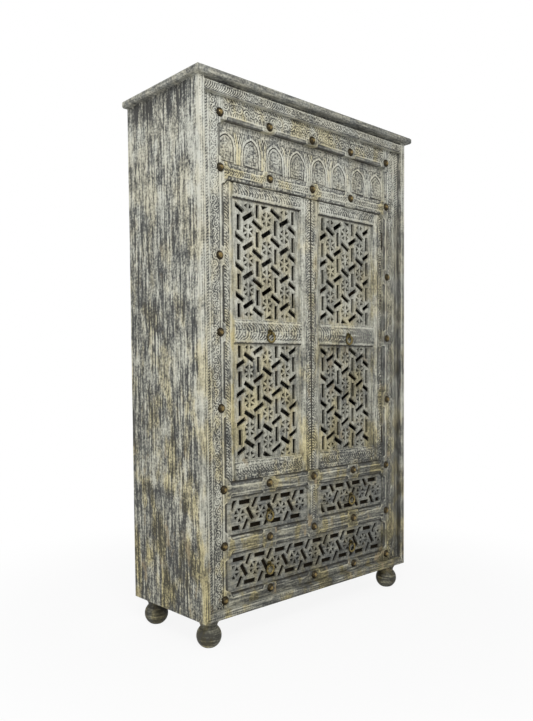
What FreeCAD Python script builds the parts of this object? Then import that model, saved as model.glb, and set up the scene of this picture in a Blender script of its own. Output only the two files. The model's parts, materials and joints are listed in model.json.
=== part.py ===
import FreeCAD, Part
import math
import os

# Carved two-door cabinet with three drawers. Lengths are millimetres, angles are degrees.
# The origin is on the floor under the middle of the whole outline. +Z is up and -Y is the front.

# Overall sizes
overall_height = 1790.0
body_width = 1020.0
overall_depth = 418.0
underside_height = 93.0
side_thickness = 22.0
board_thickness = 18.0
back_thickness = 8.0
back_rebate = 8.0
housing_depth = 6.0

# Cornice and the carved strip under it
cornice_thickness = 22.0
cornice_side_overhang = 20.0
cornice_front_overhang = 18.0
cornice_edge_chamfer = 4.0
cove_height = 8.0
cove_reach = 10.0
cove_runs = 3
strip_height = 30.0
strip_setback = 3.0

# Mitred border on the front
border_thickness = 20.0
border_bottom_height = 27.0

# Front frame
frame_thickness = 38.0
stile_width = 87.0
bottom_rail_height = 66.0
large_drawer_opening_height = 127.0
middle_rail_height = 60.0
small_drawer_opening_height = 124.0
drawer_rail_height = 51.0
head_rail_height = 53.0
arch_opening_height = 130.0
frieze_rail_height = 105.0
arch_notch_width = 12.0
divider_width = 48.0
chamfer_width = 15.0
chamfer_depth = 4.5
head_upper_chamfer_width = 22.0
corner_leg = 14.0
stud_block_half = 28.0

# Domed studs, with flat facets. The inner ones stand at a share of the opening's half width.
stud_radius = 14.5
stud_height = 10.5
stud_sides = 8
stud_tier_shares = ((1.0, 0.0), (0.72, 0.62), (0.0, 1.0))
stud_edge_distance = 15.0
column_stud_edge_distance = 21.5
high_stud_share = 0.511
low_stud_share = 0.541
frieze_stud_rise = 17.5
head_stud_rise = 32.0
drawer_rail_stud_rise = 31.0
middle_stud_rise = 33.0
bottom_stud_drop = 14.5
column_stud_count = 3

# Arch panel
arch_panel_setback = 18.0
arch_panel_thickness = 12.0
arch_count = 8
arch_half_width = 35.0
arch_base_rise = 8.0
arch_spring_rise = 52.0
arch_point_rise = 96.0
arch_curve_runs = 3
arch_recess = 3.0
arch_tongue_inset = 10.0
arch_tongue_proud = 2.0

# Doors
door_thickness = 25.0
door_setback = 10.0
door_side_gap = 1.5
door_end_gap = 2.0
door_meeting_gap = 2.0
door_stile_width = 45.0
door_top_rail_height = 46.0
door_bottom_rail_height = 58.0
door_middle_rail_height = 79.0
door_edge_chamfer_width = 10.0
door_edge_chamfer_depth = 6.0
door_corner_gap = 6.5

# Pierced panels
jali_thickness = 12.0
jali_lap = 8.0
jali_edge_gap = 0.2
jali_back_setback = 1.0
door_jali_pitch = 95.5
drawer_jali_pitch = 94.0
lower_jali_shift = 5.5
upper_jali_shift = 0.5
jali_slot_length = 51.0
jali_slot_width = 16.0
jali_rib = 6.5
jali_rosette_radius = 22.5
jali_side_margin = 15.0
jali_end_margin = 6.0
jali_kept_share = 0.3

# Drawers
drawer_gap = 1.5
drawer_corner_gap = 2.0
drawer_front_thickness = 12.0
drawer_backing_thickness = 10.0
drawer_side_thickness = 12.0
drawer_side_inset = 13.0
drawer_bottom_thickness = 6.0
drawer_bottom_rise = 4.0
drawer_top_drop = 14.0
drawer_length = 330.0
drawer_margin_first = 23.0
drawer_margin_last = 12.0
drawer_margin_high = 10.0
small_first_rosette = 57.0
large_first_rosette = 28.0
runner_gap = 0.3
runner_thickness = 18.0
runner_lap = 16.0
guide_gap = 1.0
guide_height = 24.0

# Shelves
shelf_count = 2
shelf_setback = 14.0

# Ball feet, turned, with flat facets. The ball's bands lie between its sole and its neck.
foot_inset = 52.0
foot_ball_radius = 41.5
foot_flat_radius = 20.5
foot_collar_radius = 34.0
foot_collar_height = 13.0
foot_neck_radius = 28.0
foot_sides = 12
foot_ball_bands = 5

# Butt hinges
hinge_length = 65.0
hinge_barrel_radius = 3.2
hinge_pin_radius = 1.6
hinge_bore_gap = 0.06
hinge_sides = 6
hinge_leaf_width = 22.0
hinge_leaf_thickness = 1.4
hinge_knuckles = 3
hinge_knuckle_gap = 0.3
hinge_pin_proud = 1.5
hinge_clearance = 0.5
hinge_end_distance = 100.0

# Ring pulls
pull_plate_radius = 11.0
pull_plate_thickness = 2.0
pull_plate_sides = 8
pull_post_width = 6.0
pull_post_reach = 11.5
pull_post_height = 10.5
pull_eye_gap = 0.3
pull_eye_sides = 6
ring_radius = 17.0
ring_wire_radius = 2.5
ring_sides = 12
ring_wire_sides = 5
ring_axis_reach = 6.5
small_pull_rise = -9.0
large_pull_rise = -5.5

# Places that follow from the sizes above
body_half = body_width / 2
inner_half = body_half - side_thickness
cornice_front_y = -overall_depth / 2
back_y = overall_depth / 2
border_front_y = cornice_front_y + cornice_front_overhang
frame_front_y = border_front_y + border_thickness
frame_back_y = frame_front_y + frame_thickness
cornice_bottom = overall_height - cornice_thickness
strip_top = cornice_bottom - cove_height
strip_bottom = strip_top - strip_height
inside_back_y = back_y - back_thickness
door_front_y = frame_front_y + door_setback
door_back_y = door_front_y + door_thickness
jali_front_y = door_back_y - jali_back_setback - jali_thickness
opening_half_width = inner_half - stile_width
arch_opening_half_width = opening_half_width + arch_notch_width
divider_half = divider_width / 2
bottom_rail_top = underside_height + bottom_rail_height
middle_rail_bottom = bottom_rail_top + large_drawer_opening_height
middle_rail_top = middle_rail_bottom + middle_rail_height
drawer_rail_bottom = middle_rail_top + small_drawer_opening_height
drawer_rail_top = drawer_rail_bottom + drawer_rail_height
frieze_rail_bottom = cornice_bottom - frieze_rail_height
head_rail_top = frieze_rail_bottom - arch_opening_height
head_rail_bottom = head_rail_top - head_rail_height
door_opening_height = head_rail_bottom - drawer_rail_top
column_stud_pitch = door_opening_height / (column_stud_count + 1)
column_stud_z = [drawer_rail_top + (k + 1) * column_stud_pitch for k in range(column_stud_count)]
shelf_pitch = door_opening_height / (shelf_count + 1)
shelf_z = [drawer_rail_top + (k + 1) * shelf_pitch for k in range(shelf_count)]
door_low = drawer_rail_top + door_end_gap
door_high = head_rail_bottom - door_end_gap
door_lights_height = (door_high - door_low - door_bottom_rail_height - door_middle_rail_height
                      - door_top_rail_height)
door_middle_rail_bottom = door_low + door_bottom_rail_height + door_lights_height / 2
door_middle_rail_top = door_middle_rail_bottom + door_middle_rail_height
hinge_axis_x = opening_half_width - door_side_gap / 2
hinge_axis_y = door_front_y - hinge_pin_proud
hinge_centres_z = (door_low + hinge_end_distance, door_high - hinge_end_distance)
overrun = chamfer_depth


def vec(x, y, z):
    """A point or direction."""
    return FreeCAD.Vector(x, y, z)


def block(x_pair, y_pair, z_pair):
    """A box between the two values of each pair, in either order."""
    low = [min(pair) for pair in (x_pair, y_pair, z_pair)]
    size = [abs(pair[1] - pair[0]) for pair in (x_pair, y_pair, z_pair)]
    return Part.makeBox(size[0], size[1], size[2], vec(low[0], low[1], low[2]))


def wire_of(points, y):
    """A closed outline of (x, z) points that stands at one y."""
    loop = [vec(x, y, z) for x, z in points]
    return Part.makePolygon(loop + loop[:1])


def outline_prism(points, y_front, y_back):
    """An (x, z) outline carried from y_front to y_back."""
    face = Part.Face(wire_of(points, y_front))
    return face.extrude(vec(0, y_back - y_front, 0))


def pierced_board(outline, holes, y_front, y_back):
    """A board with the given outline and every hole outline pierced through it."""
    wires = [wire_of(outline, y_front)] + [wire_of(hole, y_front) for hole in holes]
    face = Part.makeFace(Part.makeCompound(wires), "Part::FaceMakerBullseye")
    return face.extrude(vec(0, y_back - y_front, 0))


def solid_of(loops):
    """A closed solid from the corner loops of its flat faces."""
    faces = [Part.Face(Part.makePolygon(loop + loop[:1])) for loop in loops]
    shell = Part.makeShell(faces)
    shell.sewShape()
    solid = Part.makeSolid(shell)
    if solid.Volume < 0:
        solid.reverse()
    return solid


def turned(profile, sides, endless=False):
    """A turning about the upright axis with flat facets. Each (corner radius, height) of the
    profile is a ring of corners, or a point where the radius is zero, and flat facets join each
    ring to the next. An endless profile comes back to its start, as a ring's wire does."""
    turns = [2 * math.pi * (k + 0.5) / sides for k in range(sides)]
    rings = []
    for radius, height in profile:
        if radius > 0:
            rings.append([vec(radius * math.cos(turn), radius * math.sin(turn), height) for turn in turns])
        else:
            rings.append([vec(0, 0, height)])
    pairs = list(zip(rings, rings[1:]))
    if endless:
        pairs.append((rings[-1], rings[0]))
        loops = []
    else:
        loops = [ring for ring in (rings[0], rings[-1]) if len(ring) > 1]
    for low, high in pairs:
        for k in range(sides):
            n = (k + 1) % sides
            corners = [low[k % len(low)], low[n % len(low)], high[n % len(high)], high[k % len(high)]]
            loops.append([corner for i, corner in enumerate(corners) if corner != corners[i - 1]])
    return solid_of(loops)


def corner_radius(flat_radius, sides):
    """The distance from the axis to the corners of a turning whose flats lie at flat_radius."""
    return flat_radius / math.cos(math.pi / sides)


def facing_front(shape, x, y, z):
    """A shape made about the upright axis, laid over to face the front and set at a point."""
    shape.rotate(vec(0, 0, 0), vec(1, 0, 0), 90)
    shape.translate(vec(x, y, z))
    return shape


def chamfer_wedge(along, start, end, edge, inward, y_face, width, depth, slope=1):
    """What a chamfer takes away, from start to end along "x" or "z" on one edge. Its ends slope
    by as much as it is wide: inward as stops where slope is 1, outward as mitres where it is -1."""
    extra = overrun / depth
    section = [(width * (1 + extra), -extra * depth),
               (-extra * width, -extra * depth),
               (-extra * width, depth * (1 + extra))]
    ends = []
    for origin, lean in ((start, slope), (end, -slope)):
        corners = []
        for across, deep in section:
            run = origin + lean * across
            if along == "x":
                corners.append(vec(run, y_face + deep, edge + inward * across))
            else:
                corners.append(vec(edge + inward * across, y_face + deep, run))
        ends.append(corners)
    first, last = ends
    loops = [first, last]
    for k in range(3):
        n = (k + 1) % 3
        loops.append([first[k], first[n], last[n], last[k]])
    return solid_of(loops)


def runs_between(low, high, centres):
    """The stretches of low to high that the stud blocks leave free."""
    runs = []
    start = low
    for centre in sorted(centres):
        if low < centre < high:
            runs.append((start, centre - stud_block_half))
            start = centre + stud_block_half
    runs.append((start, high))
    return [run for run in runs if run[1] - run[0] > 2 * chamfer_width]


def chamfered(member, along, edge, inward, low, high, centres, width=chamfer_width):
    """The member with stopped chamfers cut between its stud blocks."""
    for start, end in runs_between(low, high, centres):
        wedge = chamfer_wedge(along, start, end, edge, inward, frame_front_y, width, chamfer_depth)
        member = member.cut(wedge)
    return member


def mirrored(shape):
    """The same piece on the other side of the middle."""
    return shape.mirror(vec(0, 0, 0), vec(1, 0, 0))


def save(name, *solids):
    """Write one named piece, or a group of alike pieces."""
    shape = solids[0] if len(solids) == 1 else Part.makeCompound(list(solids))
    shape.exportStep("parts/" + name + ".step")


# Carcass boards
def side_panel():
    """The right side, with a rebate for the back and housings for the boards."""
    side = block((inner_half, body_half), (frame_front_y, back_y), (underside_height, cornice_bottom))
    rebate = block((inner_half - overrun, inner_half + back_rebate), (inside_back_y, back_y + overrun),
                   (underside_height - overrun, cornice_bottom + overrun))
    side = side.cut(rebate)
    for z_low, z_high, y_front in housed_boards():
        side = side.cut(block((inner_half - overrun, inner_half + housing_depth),
                              (y_front, inside_back_y + overrun), (z_low, z_high)))
    return side


def housed_boards():
    """Height range and front edge of each board that is housed in the sides."""
    boards = [(drawer_rail_top - board_thickness, drawer_rail_top, frame_back_y)]
    for z in shelf_z:
        boards.append((z, z + board_thickness, frame_back_y + shelf_setback))
    return boards


def housed_board(z_low, z_high, y_front):
    """One board across the whole inside, its ends in the housings."""
    reach = inner_half + housing_depth
    return block((-reach, reach), (y_front, inside_back_y), (z_low, z_high))


def cornice():
    """Top board with chamfered edges at its front and ends."""
    half = body_half + cornice_side_overhang
    board = block((-half, half), (cornice_front_y, back_y), (cornice_bottom, overall_height))
    edges = []
    for edge in board.Edges:
        middle = edge.BoundBox.Center
        at_rim = middle.y < back_y - cornice_front_overhang
        along_top = abs(edge.BoundBox.ZLength) < cornice_thickness / 2
        if at_rim and along_top:
            edges.append(edge)
    return board.makeChamfer(cornice_edge_chamfer, edges)


def cove():
    """Hollow moulding between the borders: a quarter hollow that leans out as it rises, its curve
    made of short straight runs."""
    hollow = min(cove_height, cove_reach)
    front = border_front_y + strip_setback + cove_reach
    section = [(frame_front_y, cornice_bottom), (frame_front_y, cornice_bottom - cove_height)]
    if cove_height > hollow:
        section.append((front, cornice_bottom - cove_height))
    for k in range(cove_runs + 1):
        turn = math.pi / 2 * k / cove_runs
        section.append((front - hollow * (1 - math.cos(turn)),
                        cornice_bottom - hollow * (1 - math.sin(turn))))
    ends = [[vec(x, y, z) for y, z in section] for x in (-inner_half, inner_half)]
    left, right = ends
    loops = [left, right]
    for k in range(len(section)):
        n = (k + 1) % len(section)
        loops.append([left[k], left[n], right[n], right[k]])
    return solid_of(loops)


def border_upright():
    """The right border, mitred at its foot."""
    outline = [(body_half, underside_height), (body_half, cornice_bottom), (inner_half, cornice_bottom),
               (inner_half, underside_height + border_bottom_height)]
    return outline_prism(outline, border_front_y, frame_front_y)


def border_bottom():
    """The bottom border, mitred at both ends."""
    top = underside_height + border_bottom_height
    outline = [(-body_half, underside_height), (body_half, underside_height), (inner_half, top),
               (-inner_half, top)]
    return outline_prism(outline, border_front_y, frame_front_y)


# Front frame
def stile():
    """The right stile, stepped back beside the arch panel, with stopped chamfers."""
    outline = [(inner_half, underside_height), (inner_half, cornice_bottom),
               (opening_half_width, cornice_bottom), (opening_half_width, frieze_rail_bottom),
               (arch_opening_half_width, frieze_rail_bottom), (arch_opening_half_width, head_rail_top),
               (opening_half_width, head_rail_top), (opening_half_width, underside_height)]
    member = outline_prism(outline, frame_front_y, frame_back_y)
    zones = ((opening_half_width, bottom_rail_top, middle_rail_bottom),
             (opening_half_width, middle_rail_top, drawer_rail_bottom),
             (opening_half_width, drawer_rail_top, head_rail_bottom),
             (arch_opening_half_width, head_rail_top, frieze_rail_bottom))
    for edge, low, high in zones:
        member = chamfered(member, "z", edge, 1, low + corner_leg, high - corner_leg, column_stud_z)
    for centre in hinge_centres_z:
        member = member.cut(frame_leaf_recess(centre))
    return member


def rail(z_low, z_high, inner_studs, edges):
    """A rail between the stiles. Each entry of edges is an edge's height, its inward direction
    and the width of its chamfer."""
    half = opening_half_width
    member = block((-half, half), (frame_front_y, frame_back_y), (z_low, z_high))
    limit = half - corner_leg
    for edge, inward, width in edges:
        member = chamfered(member, "x", edge, inward, -limit, limit, inner_studs, width)
    return member


def divider():
    """The post between the two small drawers, chamfered on both sides."""
    low, high = middle_rail_top, drawer_rail_bottom
    member = block((-divider_half, divider_half), (frame_front_y, frame_back_y), (low, high))
    for side in (-1, 1):
        edge = side * divider_half
        member = chamfered(member, "z", edge, -side, low + corner_leg, high - corner_leg, ())
    return member


def corner_blocks():
    """Three-sided blocks in the corners of the openings: the doors' outer corners and every
    corner of the drawers."""
    half = opening_half_width
    openings = ((-half, half, drawer_rail_top, head_rail_bottom),
                (-half, -divider_half, middle_rail_top, drawer_rail_bottom),
                (divider_half, half, middle_rail_top, drawer_rail_bottom),
                (-half, half, bottom_rail_top, middle_rail_bottom))
    blocks = []
    for x_low, x_high, z_low, z_high in openings:
        for x, x_way in ((x_low, 1), (x_high, -1)):
            for z, z_way in ((z_low, 1), (z_high, -1)):
                outline = [(x, z), (x + x_way * corner_leg, z), (x, z + z_way * corner_leg)]
                blocks.append(outline_prism(outline, frame_front_y, frame_back_y))
    return blocks


def stud(x, z):
    """One domed stud, its flat back on the frame's face."""
    profile = [(share * stud_radius, rise * stud_height) for share, rise in stud_tier_shares]
    return facing_front(turned(profile, stud_sides), x, frame_front_y, z)


def stud_places():
    """(x, z) of each stud: five rows of five, and a column on each stile beside the doors."""
    high_inner = high_stud_share * opening_half_width
    low_inner = low_stud_share * opening_half_width
    outer = opening_half_width + stud_edge_distance
    rows = ((frieze_rail_bottom + frieze_stud_rise, high_inner),
            (head_rail_bottom + head_stud_rise, high_inner),
            (drawer_rail_bottom + drawer_rail_stud_rise, low_inner),
            (middle_rail_bottom + middle_stud_rise, low_inner),
            (bottom_rail_top - bottom_stud_drop, low_inner))
    places = []
    for z, inner in rows:
        for x in (-outer, -inner, 0.0, inner, outer):
            places.append((x, z))
    column_x = opening_half_width + column_stud_edge_distance
    for z in column_stud_z:
        places.append((-column_x, z))
        places.append((column_x, z))
    return places


def pointed_arch(x, inset):
    """The outline of a pointed arch on straight legs. Each side is an arc that springs upright
    from its leg and meets the other at the point, made of short straight runs."""
    half = arch_half_width - inset
    low = head_rail_top + arch_base_rise + inset
    spring = head_rail_top + arch_spring_rise
    rise = arch_point_rise - inset - arch_spring_rise
    radius = (rise ** 2 + half ** 2) / (2 * half)
    sweep = math.atan2(rise, radius - half)
    right = []
    for k in range(arch_curve_runs):
        turn = sweep * k / arch_curve_runs
        right.append((half - radius * (1 - math.cos(turn)), spring + radius * math.sin(turn)))
    left = [(-across, z) for across, z in reversed(right)]
    outline = [(-half, low), (half, low)] + right + [(0, spring + rise)] + left
    return [(x + across, z) for across, z in outline]


def arch_panel():
    """Board with a row of pointed arch niches, each round a raised tongue."""
    front = frame_front_y + arch_panel_setback
    half = arch_opening_half_width
    panel = block((-half, half), (front, front + arch_panel_thickness), (head_rail_top, frieze_rail_bottom))
    pitch = (2 * half - 2 * arch_half_width) / (arch_count - 1)
    niches = []
    for k in range(arch_count):
        x = -half + arch_half_width + k * pitch
        niche = outline_prism(pointed_arch(x, arch_tongue_inset / 5), front - overrun, front + arch_recess)
        tongue = outline_prism(pointed_arch(x, arch_tongue_inset), front + arch_recess - arch_tongue_proud,
                               front + arch_recess + arch_tongue_proud)
        niches.append(niche.cut(tongue))
    return panel.cut(niches)


# Pierced pattern
def clipped(points, low, high):
    """The outline cut off at the sides of the rectangle from low to high."""
    for axis in (0, 1):
        for limit, sign in ((low[axis], 1), (high[axis], -1)):
            kept = []
            for k, here in enumerate(points):
                before = points[k - 1]
                inside = sign * (here[axis] - limit) >= 0
                was_inside = sign * (before[axis] - limit) >= 0
                if inside != was_inside:
                    share = (limit - before[axis]) / (here[axis] - before[axis])
                    kept.append(tuple(before[n] + share * (here[n] - before[n]) for n in (0, 1)))
                if inside:
                    kept.append(here)
            points = kept
    return points


def area_of(points):
    """The area inside an outline."""
    total = 0.0
    for k, (x, z) in enumerate(points):
        x_before, z_before = points[k - 1]
        total += x_before * z - x * z_before
    return abs(total) / 2


def polar(centre, distance, angle):
    """The point at a distance and an angle from a centre."""
    turn = math.radians(angle)
    return (centre[0] + distance * math.cos(turn), centre[1] + distance * math.sin(turn))


def rosette_hole(centre, angle):
    """One of a rosette's six three-sided holes, its point towards the centre."""
    tip = polar(centre, jali_rib, angle)
    spread = (jali_rosette_radius - jali_rib) * math.tan(math.radians(30))
    foot = polar(centre, jali_rosette_radius, angle)
    return [tip, polar(foot, spread, angle - 90), polar(foot, spread, angle + 90)]


def slot_hole(centre, angle):
    """A slot: a rectangle along the angle."""
    points = []
    for along, across in ((-1, -1), (1, -1), (1, 1), (-1, 1)):
        shifted = polar(centre, along * jali_slot_length / 2, angle)
        points.append(polar(shifted, across * jali_slot_width / 2, angle + 90))
    return points


def jali_holes(low, high, centre, pitch, first_angle, turn):
    """The holes of the lattice inside a rectangle. Rosettes stand on a triangular lattice whose
    links leave at first_angle and every 60 degrees from it, and a slot crosses the middle of
    each link, turned from it by turn. A hole that the rectangle cuts small is left out."""
    holes = []
    span = math.hypot(high[0] - low[0], high[1] - low[1])
    count = int(span / pitch) + 2
    for i in range(-count, count + 1):
        for j in range(-count, count + 1):
            place = polar(polar(centre, i * pitch, first_angle), j * pitch, first_angle + 60)
            candidates = [rosette_hole(place, first_angle + 30 + 60 * k) for k in range(6)]
            for k in range(3):
                link = first_angle + 60 * k
                candidates.append(slot_hole(polar(place, pitch / 2, link), link + turn))
            for hole in candidates:
                cut = clipped(hole, low, high)
                if len(cut) > 2 and area_of(cut) > jali_kept_share * area_of(hole):
                    holes.append(cut)
    return holes


# Doors, drawn for the right hand side, where x grows towards the hinge
def door_members():
    """The five members of the right door's frame, rebated at the back for the panels."""
    outer = opening_half_width - door_side_gap
    inner = door_meeting_gap / 2
    hinge_inner = outer - door_stile_width
    meeting_outer = inner + door_stile_width
    reach = corner_leg + door_corner_gap * math.sqrt(2)
    leg = reach - door_side_gap - door_end_gap
    hinge_outline = [(hinge_inner, door_low), (outer - leg, door_low), (outer, door_low + leg),
                     (outer, door_high - leg), (outer - leg, door_high), (hinge_inner, door_high)]
    members = {
        "hinge_stile": outline_prism(hinge_outline, door_front_y, door_back_y),
        "meeting_stile": block((inner, meeting_outer), (door_front_y, door_back_y), (door_low, door_high)),
    }
    rails = {"bottom_rail": (door_low, door_low + door_bottom_rail_height),
             "middle_rail": (door_middle_rail_bottom, door_middle_rail_top),
             "top_rail": (door_high - door_top_rail_height, door_high)}
    for name, (low, high) in rails.items():
        members[name] = block((meeting_outer, hinge_inner), (door_front_y, door_back_y), (low, high))
    for low, high in door_lights():
        recess = block((meeting_outer - jali_lap, hinge_inner + jali_lap),
                       (jali_front_y, door_back_y + overrun), (low - jali_lap, high + jali_lap))
        for name in members:
            members[name] = members[name].cut(recess)
        edges = (("z", hinge_inner, 1, low, high), ("z", meeting_outer, -1, low, high),
                 ("x", high, 1, meeting_outer, hinge_inner), ("x", low, -1, meeting_outer, hinge_inner))
        for along, edge, inward, start, end in edges:
            wedge = chamfer_wedge(along, start, end, edge, inward, door_front_y,
                                  door_edge_chamfer_width, door_edge_chamfer_depth, -1)
            for name in members:
                members[name] = members[name].cut(wedge)
    for centre in hinge_centres_z:
        members["hinge_stile"] = members["hinge_stile"].cut(door_leaf_recess(centre))
    return members


def door_lights():
    """Height range of the lower and upper opening in a door."""
    return ((door_low + door_bottom_rail_height, door_middle_rail_bottom),
            (door_middle_rail_top, door_high - door_top_rail_height))


def door_jali(light, shift, turn):
    """A pierced panel of the right door, seated in the rebate behind the opening. Its lattice
    has a rosette half a pitch and the shift above the middle."""
    low_z, high_z = light
    x_low = door_meeting_gap / 2 + door_stile_width
    x_high = opening_half_width - door_side_gap - door_stile_width
    centre = ((x_low + x_high) / 2, (low_z + high_z) / 2 + door_jali_pitch / 2 + shift)
    low_corner = (x_low + jali_side_margin, low_z + jali_end_margin)
    high_corner = (x_high - jali_side_margin, high_z - jali_end_margin)
    holes = jali_holes(low_corner, high_corner, centre, door_jali_pitch, 30, turn)
    lap = jali_lap - jali_edge_gap
    outline = [(x_low - lap, low_z - lap), (x_high + lap, low_z - lap), (x_high + lap, high_z + lap),
               (x_low - lap, high_z + lap)]
    return pierced_board(outline, holes, jali_front_y, jali_front_y + jali_thickness)


# Butt hinges on the right hand side
def hinge_barrel(radius, z_low, z_high):
    """A faceted barrel on the hinge's axis, with its corners at the radius."""
    barrel = turned([(radius, z_low), (radius, z_high)], hinge_sides)
    barrel.translate(vec(hinge_axis_x, hinge_axis_y, 0))
    return barrel


def hinge_leaf(centre, x_pair, first):
    """A leaf with every second knuckle, counted from first, and the bore for the pin. The flats
    of the bore clear the corners of the pin."""
    pitch = hinge_length / hinge_knuckles
    low = centre - hinge_length / 2
    plate_start = hinge_axis_y + hinge_barrel_radius + hinge_knuckle_gap
    leaf = block(x_pair, (plate_start, hinge_axis_y + hinge_leaf_width), (low, low + hinge_length))
    for k in range(first, hinge_knuckles, 2):
        z_low = low + k * pitch + hinge_knuckle_gap / 2
        z_high = z_low + pitch - hinge_knuckle_gap
        tab = block(x_pair, (hinge_axis_y, plate_start), (z_low, z_high))
        leaf = leaf.fuse([hinge_barrel(hinge_barrel_radius, z_low, z_high), tab])
    bore_radius = corner_radius(hinge_pin_radius + hinge_bore_gap, hinge_sides)
    bore = hinge_barrel(bore_radius, low - overrun, low + hinge_length + overrun)
    return leaf.cut(bore).removeSplitter()


def frame_leaf_x():
    """The frame leaf lies flush in the edge of the opening."""
    return (opening_half_width, opening_half_width + hinge_leaf_thickness)


def door_leaf_x():
    """The door leaf lies flush in the edge of the door."""
    edge = opening_half_width - door_side_gap
    return (edge - hinge_leaf_thickness, edge)


def hinge_pin(centre):
    """The pin that joins the two leaves."""
    return hinge_barrel(hinge_pin_radius, centre - hinge_length / 2, centre + hinge_length / 2)


def barrel_hollow(z_low, z_high):
    """The space that the barrel turns in. Its flats clear the corners of the barrel."""
    radius = corner_radius(hinge_barrel_radius + hinge_clearance, hinge_sides)
    return hinge_barrel(radius, z_low, z_high)


def frame_leaf_recess(centre):
    """The shallow recess in the stile for the frame leaf and the barrel."""
    half = hinge_length / 2 + hinge_knuckle_gap / 2
    slit = block((opening_half_width - overrun, opening_half_width + hinge_leaf_thickness),
                 (frame_front_y - overrun, hinge_axis_y + hinge_leaf_width), (centre - half, centre + half))
    return slit.fuse(barrel_hollow(centre - half, centre + half))


def door_leaf_recess(centre):
    """The recess in the door's edge for the door leaf and the barrel."""
    half = hinge_length / 2 + hinge_clearance
    edge = opening_half_width - door_side_gap
    slit = block((edge - hinge_leaf_thickness, edge + overrun),
                 (door_front_y - overrun, hinge_axis_y + hinge_leaf_width), (centre - half, centre + half))
    return slit.fuse(barrel_hollow(centre - half, centre + half))


# Drawers
def clipped_front(x_low, x_high, z_low, z_high, leg):
    """A rectangle with its four corners cut off."""
    return [(x_low + leg, z_low), (x_high - leg, z_low), (x_high, z_low + leg), (x_high, z_high - leg),
            (x_high - leg, z_high), (x_low + leg, z_high), (x_low, z_high - leg), (x_low, z_low + leg)]


def drawer_front(x_low, x_high, z_low, z_high, first_rosette, turn):
    """The pierced front of a drawer that fills one opening."""
    leg = corner_leg + drawer_corner_gap * math.sqrt(2) - 2 * drawer_gap
    x_low, x_high = x_low + drawer_gap, x_high - drawer_gap
    z_low, z_high = z_low + drawer_gap, z_high - drawer_gap
    centre = (x_low + first_rosette, (z_low + z_high) / 2)
    holes = jali_holes((x_low + drawer_margin_first, z_low + drawer_margin_high),
                       (x_high - drawer_margin_last, z_high - drawer_margin_high),
                       centre, drawer_jali_pitch, 0, turn)
    outline = clipped_front(x_low, x_high, z_low, z_high, leg)
    return pierced_board(outline, holes, door_front_y, door_front_y + drawer_front_thickness)


def drawer_tray(x_low, x_high, z_low, z_high):
    """The five boards behind a drawer's pierced front: backing, two sides, back and bottom."""
    leg = corner_leg + drawer_corner_gap * math.sqrt(2) - 2 * drawer_gap
    x_low, x_high = x_low + drawer_gap, x_high - drawer_gap
    z_low, z_high = z_low + drawer_gap, z_high - drawer_gap
    y_front = door_front_y + drawer_front_thickness
    y_box = y_front + drawer_backing_thickness
    y_end = y_box + drawer_length
    outline = clipped_front(x_low, x_high, z_low, z_high, leg)
    backing = outline_prism(outline, y_front, y_box)
    left, right = x_low + drawer_side_inset, x_high - drawer_side_inset
    top = z_high - drawer_top_drop
    floor_low = z_low + drawer_bottom_rise
    floor_high = floor_low + drawer_bottom_thickness
    thick = drawer_side_thickness
    sides = [block((left, left + thick), (y_box, y_end), (z_low, top)),
             block((right - thick, right), (y_box, y_end), (z_low, top))]
    back = block((left + thick, right - thick), (y_end - thick, y_end), (floor_high, top))
    bottom = block((left + thick, right - thick), (y_box, y_end), (floor_low, floor_high))
    return [backing] + sides + [back, bottom]


def side_runner(z_floor, tray_side_x):
    """A right hand runner under a tray's side, and the guide on it, both fixed to the side."""
    top = z_floor - runner_gap
    y_pair = (frame_back_y, inside_back_y)
    shelf = block((tray_side_x - runner_lap, inner_half), y_pair, (top - runner_thickness, top))
    guide = block((tray_side_x + guide_gap, inner_half), y_pair, (top, top + guide_height))
    return [shelf, guide]


def centre_runner(z_floor, tray_side_x):
    """The runner between the small drawers, and the guide along its middle."""
    top = z_floor - runner_gap
    reach = tray_side_x + runner_lap
    guide_half = tray_side_x - guide_gap
    y_pair = (frame_back_y, inside_back_y)
    shelf = block((-reach, reach), y_pair, (top - runner_thickness, top))
    guide = block((-guide_half, guide_half), y_pair, (top, top + guide_height))
    return [shelf, guide]


# Ring pulls
def pull_plate(x, z):
    """A round plate with an eye post for the ring. The flats of the eye clear the ring's wire."""
    plate = turned([(pull_plate_radius, 0), (pull_plate_radius, pull_plate_thickness)], pull_plate_sides)
    plate = facing_front(plate, x, door_front_y, z)
    half = pull_post_width / 2
    post = block((x - half, x + half), (door_front_y, door_front_y - pull_post_reach),
                 (z - pull_post_height / 2, z + pull_post_height / 2))
    eye_radius = corner_radius(ring_wire_radius + pull_eye_gap, pull_eye_sides)
    eye = turned([(eye_radius, -half - overrun), (eye_radius, half + overrun)], pull_eye_sides)
    eye.rotate(vec(0, 0, 0), vec(0, 1, 0), 90)
    eye.translate(vec(x, door_front_y - ring_axis_reach, z))
    return plate.fuse(post).cut(eye)


def pull_ring(x, z):
    """A ring that hangs through the eye. The middle of its top side lies on the eye's axis."""
    profile = []
    for k in range(ring_wire_sides):
        turn = 2 * math.pi * k / ring_wire_sides
        radius = corner_radius(ring_radius + ring_wire_radius * math.cos(turn), ring_sides)
        profile.append((radius, ring_wire_radius * math.sin(turn)))
    ring = turned(profile, ring_sides, endless=True)
    return facing_front(ring, x, door_front_y - ring_axis_reach, z - ring_radius)


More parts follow.
